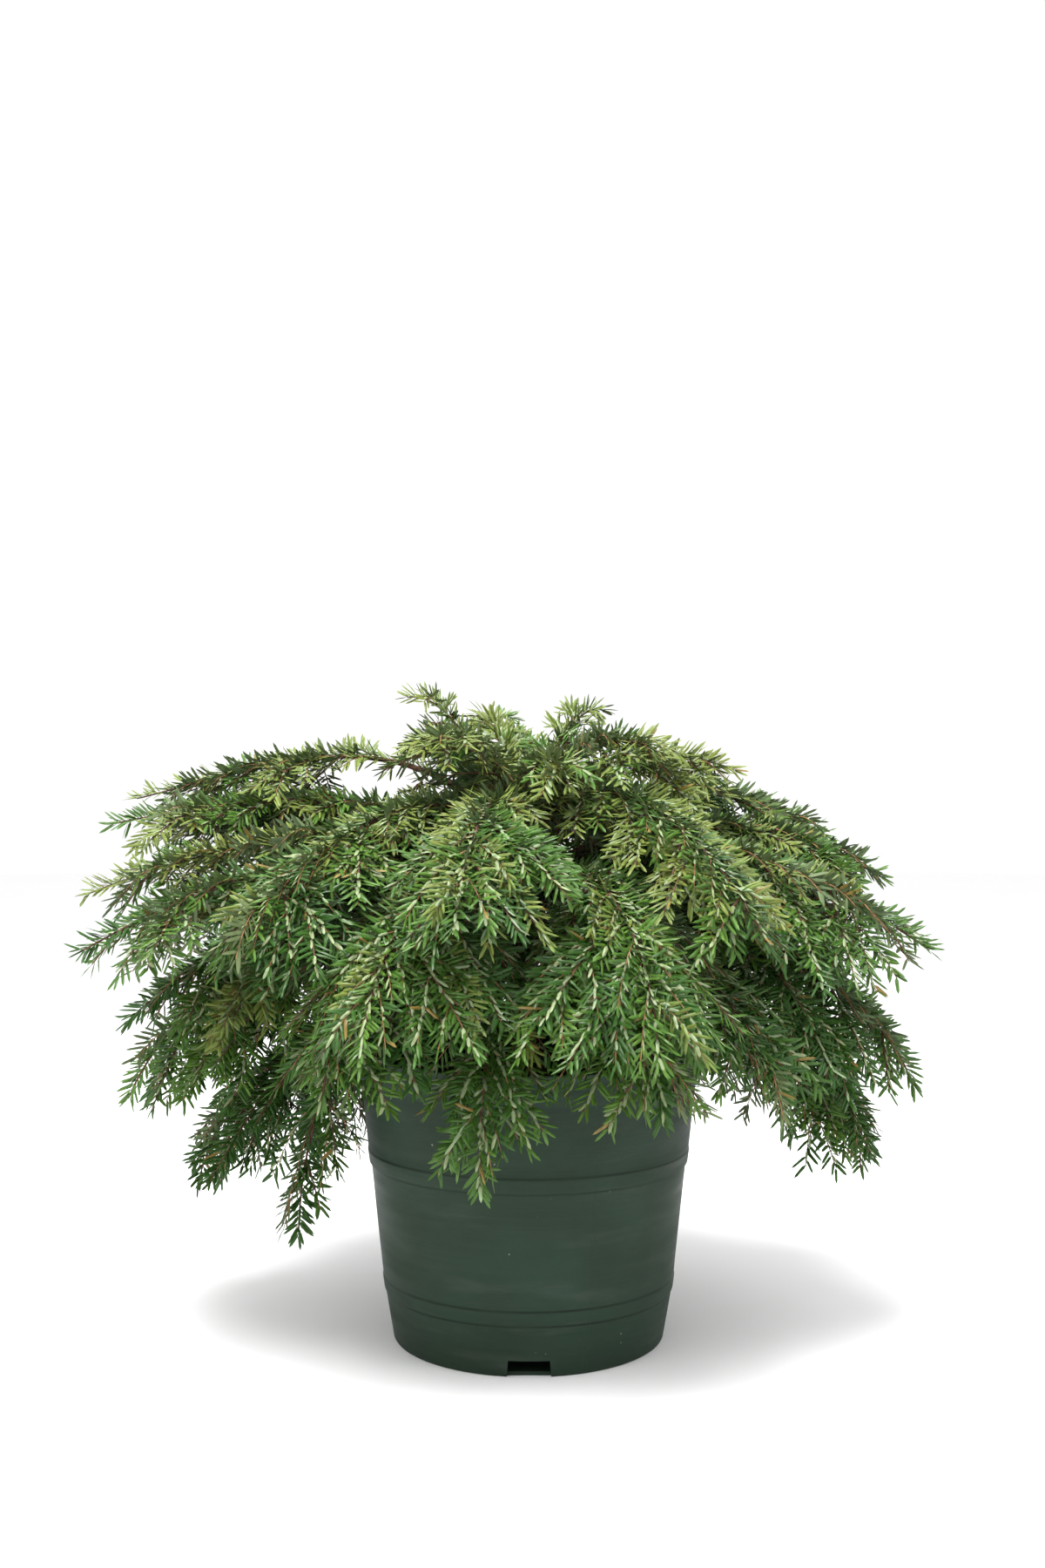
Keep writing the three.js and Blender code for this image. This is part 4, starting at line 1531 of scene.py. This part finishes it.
class HEMLOCK_OT_twigs(bpy.types.Operator):
    """Grows the side twigs of the boughs and their shoots"""

    bl_idname = "hemlock.twigs"
    bl_label = "Twigs"

    def execute(self, context):
        colours = context.scene.hemlock_colours
        groups = (
            ("old_twigs", ("lateral", "inner"), colours.old_twig),
            ("young_twigs", ("shoot", "crest"), colours.young_twig),
        )
        for name, kinds, colour in groups:
            twigs = [twig for twig in grown_crown() if twig.kind in kinds]
            finish = twig_finish(name + "_bark", colour)
            finished_piece(name, self.joined(name, twigs, TWIG_SIDES[name]), [finish])
        return {"FINISHED"}

    def joined(self, name, twigs, sides):
        """One mesh of slim tapering twigs, each closed at its root and pointed at its tip."""
        turns = 2 * np.pi * np.arange(sides)[:, None] / sides
        root = np.array([(0, k + 1, k) for k in range(1, sides - 1)])
        all_points, all_triangles, count = [], [], 0
        for twig in twigs:
            steps = max(2, round(twig.length / TWIG_STEP))
            shares = np.linspace(0, 1, steps + 1)
            point, tangent, side, up = twig.at(shares)
            radius = twig.drawn_radius(shares)[:, None, None]
            outward = side[:, None] * np.cos(turns) + up[:, None] * np.sin(turns)
            rings = (point[:, None] + outward * radius).reshape(-1, 3)
            tip = point[-1] + tangent[-1] * TWIG_POINT
            here = np.arange(sides * steps).reshape(steps, sides)
            beside = np.roll(here, -1, axis=1)
            corners = [here, beside, beside + sides, here, beside + sides, here + sides]
            walls = np.stack(corners, -1).reshape(-1, 3)
            last = steps * sides + np.arange(sides)
            end = np.stack([last, np.roll(last, -1), np.full(sides, len(rings))], -1)
            all_points += [rings, tip[None]]
            all_triangles.append(np.concatenate([walls, end, root]) + count)
            count += len(rings) + 1
        return joined_mesh(name, np.concatenate(all_points), np.concatenate(all_triangles), True)


class HEMLOCK_OT_needles(bpy.types.Operator):
    """Sets the needles along every twig, in two rows with short pale ones on top"""

    bl_idname = "hemlock.needles"
    bl_label = "Needles"

    def execute(self, context):
        colours = context.scene.hemlock_colours
        sets = self.needles(context.scene.hemlock_needles)
        masses = [f"foliage_{bough.name}" for bough in BOUGHS]
        underside = needle_finish("needle_underside", colours.underside, *UNDERSIDE_GLOSS)
        faces = len(self.template()[1])
        for tint, rows in sorted(sets.items()):
            finish = needle_finish(f"needle_{tint}", getattr(colours, tint), *UPPERSIDE_GLOSS)
            lower = finish if tint in ("pale", "yellowed") else underside
            parts = math.ceil(len(rows) * faces / PIECE_TRIANGLES)
            for part, some in enumerate(np.array_split(rows, parts)):
                name = f"needles_{tint}_{part + 1}"
                finished_piece(name, self.joined(name, some), [finish, lower], masses)
        return {"FINISHED"}

    def template(self):
        """The points and triangles of one needle, and which triangles are of its underside.

        It lies along Y, one unit long and wide, with a flat outline and a raised middle.
        """
        rim = len(NEEDLE_OUTLINE)
        points = np.array([(x, y, 0) for x, y in NEEDLE_OUTLINE] + [(0, 0.5, 1)])
        above = [(k, (k + 1) % rim, rim) for k in range(rim)]
        below = [(0, k + 1, k) for k in range(1, rim - 1)]
        return points, np.array(above + below), np.array([0] * len(above) + [1] * len(below))

    def needles(self, settings):
        """Rows of needles by tint: place, direction, normal, length and width."""
        random = np.random.default_rng(settings.seed)
        sizes = [value / MM for value in (settings.length, settings.width, settings.pitch)]
        sets = {}
        for twig in grown_crown():
            start = NEEDLE_START
            if twig.kind == "stem":
                start = twig.bare * twig.length + STEM_NEEDLE_START
            side_rows = self.side_needles(twig, random, start, *sizes)
            upright_rows = self.upright_needles(twig, random, start, sizes[1])
            yellow = random.random(len(side_rows)) < YELLOWED_SHARE
            sets.setdefault(twig.tint, []).append(side_rows[~yellow])
            sets.setdefault("yellowed", []).append(side_rows[yellow])
            if twig.kind != "inner":
                sets.setdefault("pale", []).append(upright_rows)
        return {tint: self.clear_of_pot(np.concatenate(rows)) for tint, rows in sets.items()}

    def clear_of_pot(self, rows):
        feet = rows[:, 0:3]
        tips = feet + rows[:, 3:6] * rows[:, 9:10]
        return rows[~(LIMBS.near_pot(tips, TIP_TO_POT) | LIMBS.near_pot(feet, FOOT_TO_POT))]

    def side_needles(self, twig, random, start, length, width, pitch):
        """Two flat rows that lean forward, and more so near the tip of the twig."""
        gap = pitch * NEEDLE_PITCH_FACTORS[twig.kind] / 2
        places = np.arange(start, twig.length + NEEDLE_OVERSHOOT, gap)
        count = len(places)
        places = places + random.uniform(*NEEDLE_JITTER, count) * gap
        point, tangent, side, up = twig.at(places / twig.length)
        hand = np.where(np.arange(count) % 2, 1.0, -1.0)[:, None]
        near_tip = np.clip(1 - (twig.length - places) / NEEDLE_CROWDING, 0, 1)
        angle = between(*NEEDLE_ANGLE_DEG, near_tip)
        angle = np.radians(angle + random.normal(0, NEEDLE_ANGLE_SPREAD_DEG, count))[:, None]
        twist = twig.turn + np.radians(random.normal(0, TWIG_ROLL_DEG))
        cos, sin = np.cos(twist), np.sin(twist)
        side, up = side * cos + up * sin, up * cos - side * sin
        lift = np.radians(random.normal(*NEEDLE_LIFTS_DEG[twig.kind], count))[:, None]
        outward = side * hand * np.cos(lift) + up * np.sin(lift)
        direction = unit(tangent * np.cos(angle) + outward * np.sin(angle))
        roll = np.radians(random.normal(*NEEDLE_ROLL_DEG, count))[:, None] * hand
        normal = unit(up * np.cos(roll) + side * np.sin(roll))
        sizes = length * random.uniform(*NEEDLE_LENGTH_SPREAD, count)
        sizes = sizes * between(1, NEEDLE_LENGTH_AT_TIP, near_tip)
        widths = width * random.uniform(*NEEDLE_WIDTH_SPREAD, count)
        seat = twig.drawn_radius(places / twig.length)[:, None] * NEEDLE_SEAT
        return self.rows(point + outward * seat, direction, normal, sizes, widths)

    def upright_needles(self, twig, random, start, width):
        """Short pale needles that lie forward along the top of the twig, underside up."""
        start = start + random.uniform(*UPRIGHT_START)
        places = np.arange(start, twig.length - UPRIGHT_END, UPRIGHT_PITCH)
        places = places[random.random(len(places)) < UPRIGHT_SHARE]
        count = len(places)
        point, tangent, side, up = twig.at(places / twig.length)
        rise = np.radians(random.normal(*UPRIGHT_RISE_DEG, count))[:, None]
        yaw = np.radians(random.normal(*UPRIGHT_YAW_DEG, count))[:, None]
        forward = tangent * np.cos(yaw) + side * np.sin(yaw)
        direction = unit(forward * np.cos(rise) + up * np.sin(rise))
        sizes = UPRIGHT_LENGTH * random.uniform(*UPRIGHT_LENGTH_SPREAD, count)
        widths = width * UPRIGHT_WIDTH_SHARE * random.uniform(*UPRIGHT_WIDTH_SPREAD, count)
        seat = twig.drawn_radius(places / twig.length)[:, None]
        return self.rows(point + up * seat, direction, up, sizes, widths)

    def rows(self, place, direction, normal, sizes, widths):
        flat = unit(normal - direction * dot(normal, direction))
        return np.concatenate([place, direction, flat, sizes[:, None], widths[:, None]], axis=1)

    def joined(self, name, rows):
        """One mesh of needles, the template set at each row."""
        points, triangles, below = self.template()
        place, direction, normal = rows[:, None, 0:3], rows[:, None, 3:6], rows[:, None, 6:9]
        length, width = rows[:, 9:10, None], rows[:, 10:11, None]
        x, y, z = (points[:, axis, None] for axis in range(3))
        corners = (
            place
            + np.cross(direction, normal) * (x * width)
            + direction * (y * length)
            + normal * (z * width * NEEDLE_THICKNESS_SHARE)
        )
        offsets = np.arange(len(rows))[:, None, None] * len(points)
        faces = (triangles + offsets).reshape(-1, 3)
        return joined_mesh(name, corners.reshape(-1, 3), faces, False, np.tile(below, len(rows)))


OPERATORS = (
    HEMLOCK_OT_stage,
    HEMLOCK_OT_pot,
    HEMLOCK_OT_soil,
    HEMLOCK_OT_wood,
    HEMLOCK_OT_twigs,
    HEMLOCK_OT_needles,
)
SETTINGS = {
    "hemlock_colours": HemlockColours,
    "hemlock_needles": HemlockNeedles,
    "hemlock_stage": HemlockStage,
}


class HEMLOCK_PT_panel(bpy.types.Panel):
    """Lists the hemlock's pieces and its settings"""

    bl_idname = "HEMLOCK_PT_panel"
    bl_label = "Potted Hemlock"
    bl_space_type = "VIEW_3D"
    bl_region_type = "UI"
    bl_category = "Hemlock"

    def draw(self, context):
        for name, group in SETTINGS.items():
            box = self.layout.box()
            settings = getattr(context.scene, name)
            for key in group.__annotations__:
                box.prop(settings, key)
        for operator in OPERATORS:
            self.layout.operator(operator.bl_idname)


def register():
    for group in (*SETTINGS.values(), *OPERATORS, HEMLOCK_PT_panel):
        bpy.utils.register_class(group)
    for name, group in SETTINGS.items():
        setattr(bpy.types.Scene, name, bpy.props.PointerProperty(type=group))


def unregister():
    for name in SETTINGS:
        delattr(bpy.types.Scene, name)
    for group in (HEMLOCK_PT_panel, *OPERATORS, *SETTINGS.values()):
        bpy.utils.unregister_class(group)


def main():
    register()
    bpy.ops.hemlock.stage()
    bpy.ops.hemlock.pot()
    bpy.ops.hemlock.soil()
    bpy.ops.hemlock.wood()
    bpy.ops.hemlock.twigs()
    bpy.ops.hemlock.needles()


if __name__ == "__main__":
    main()
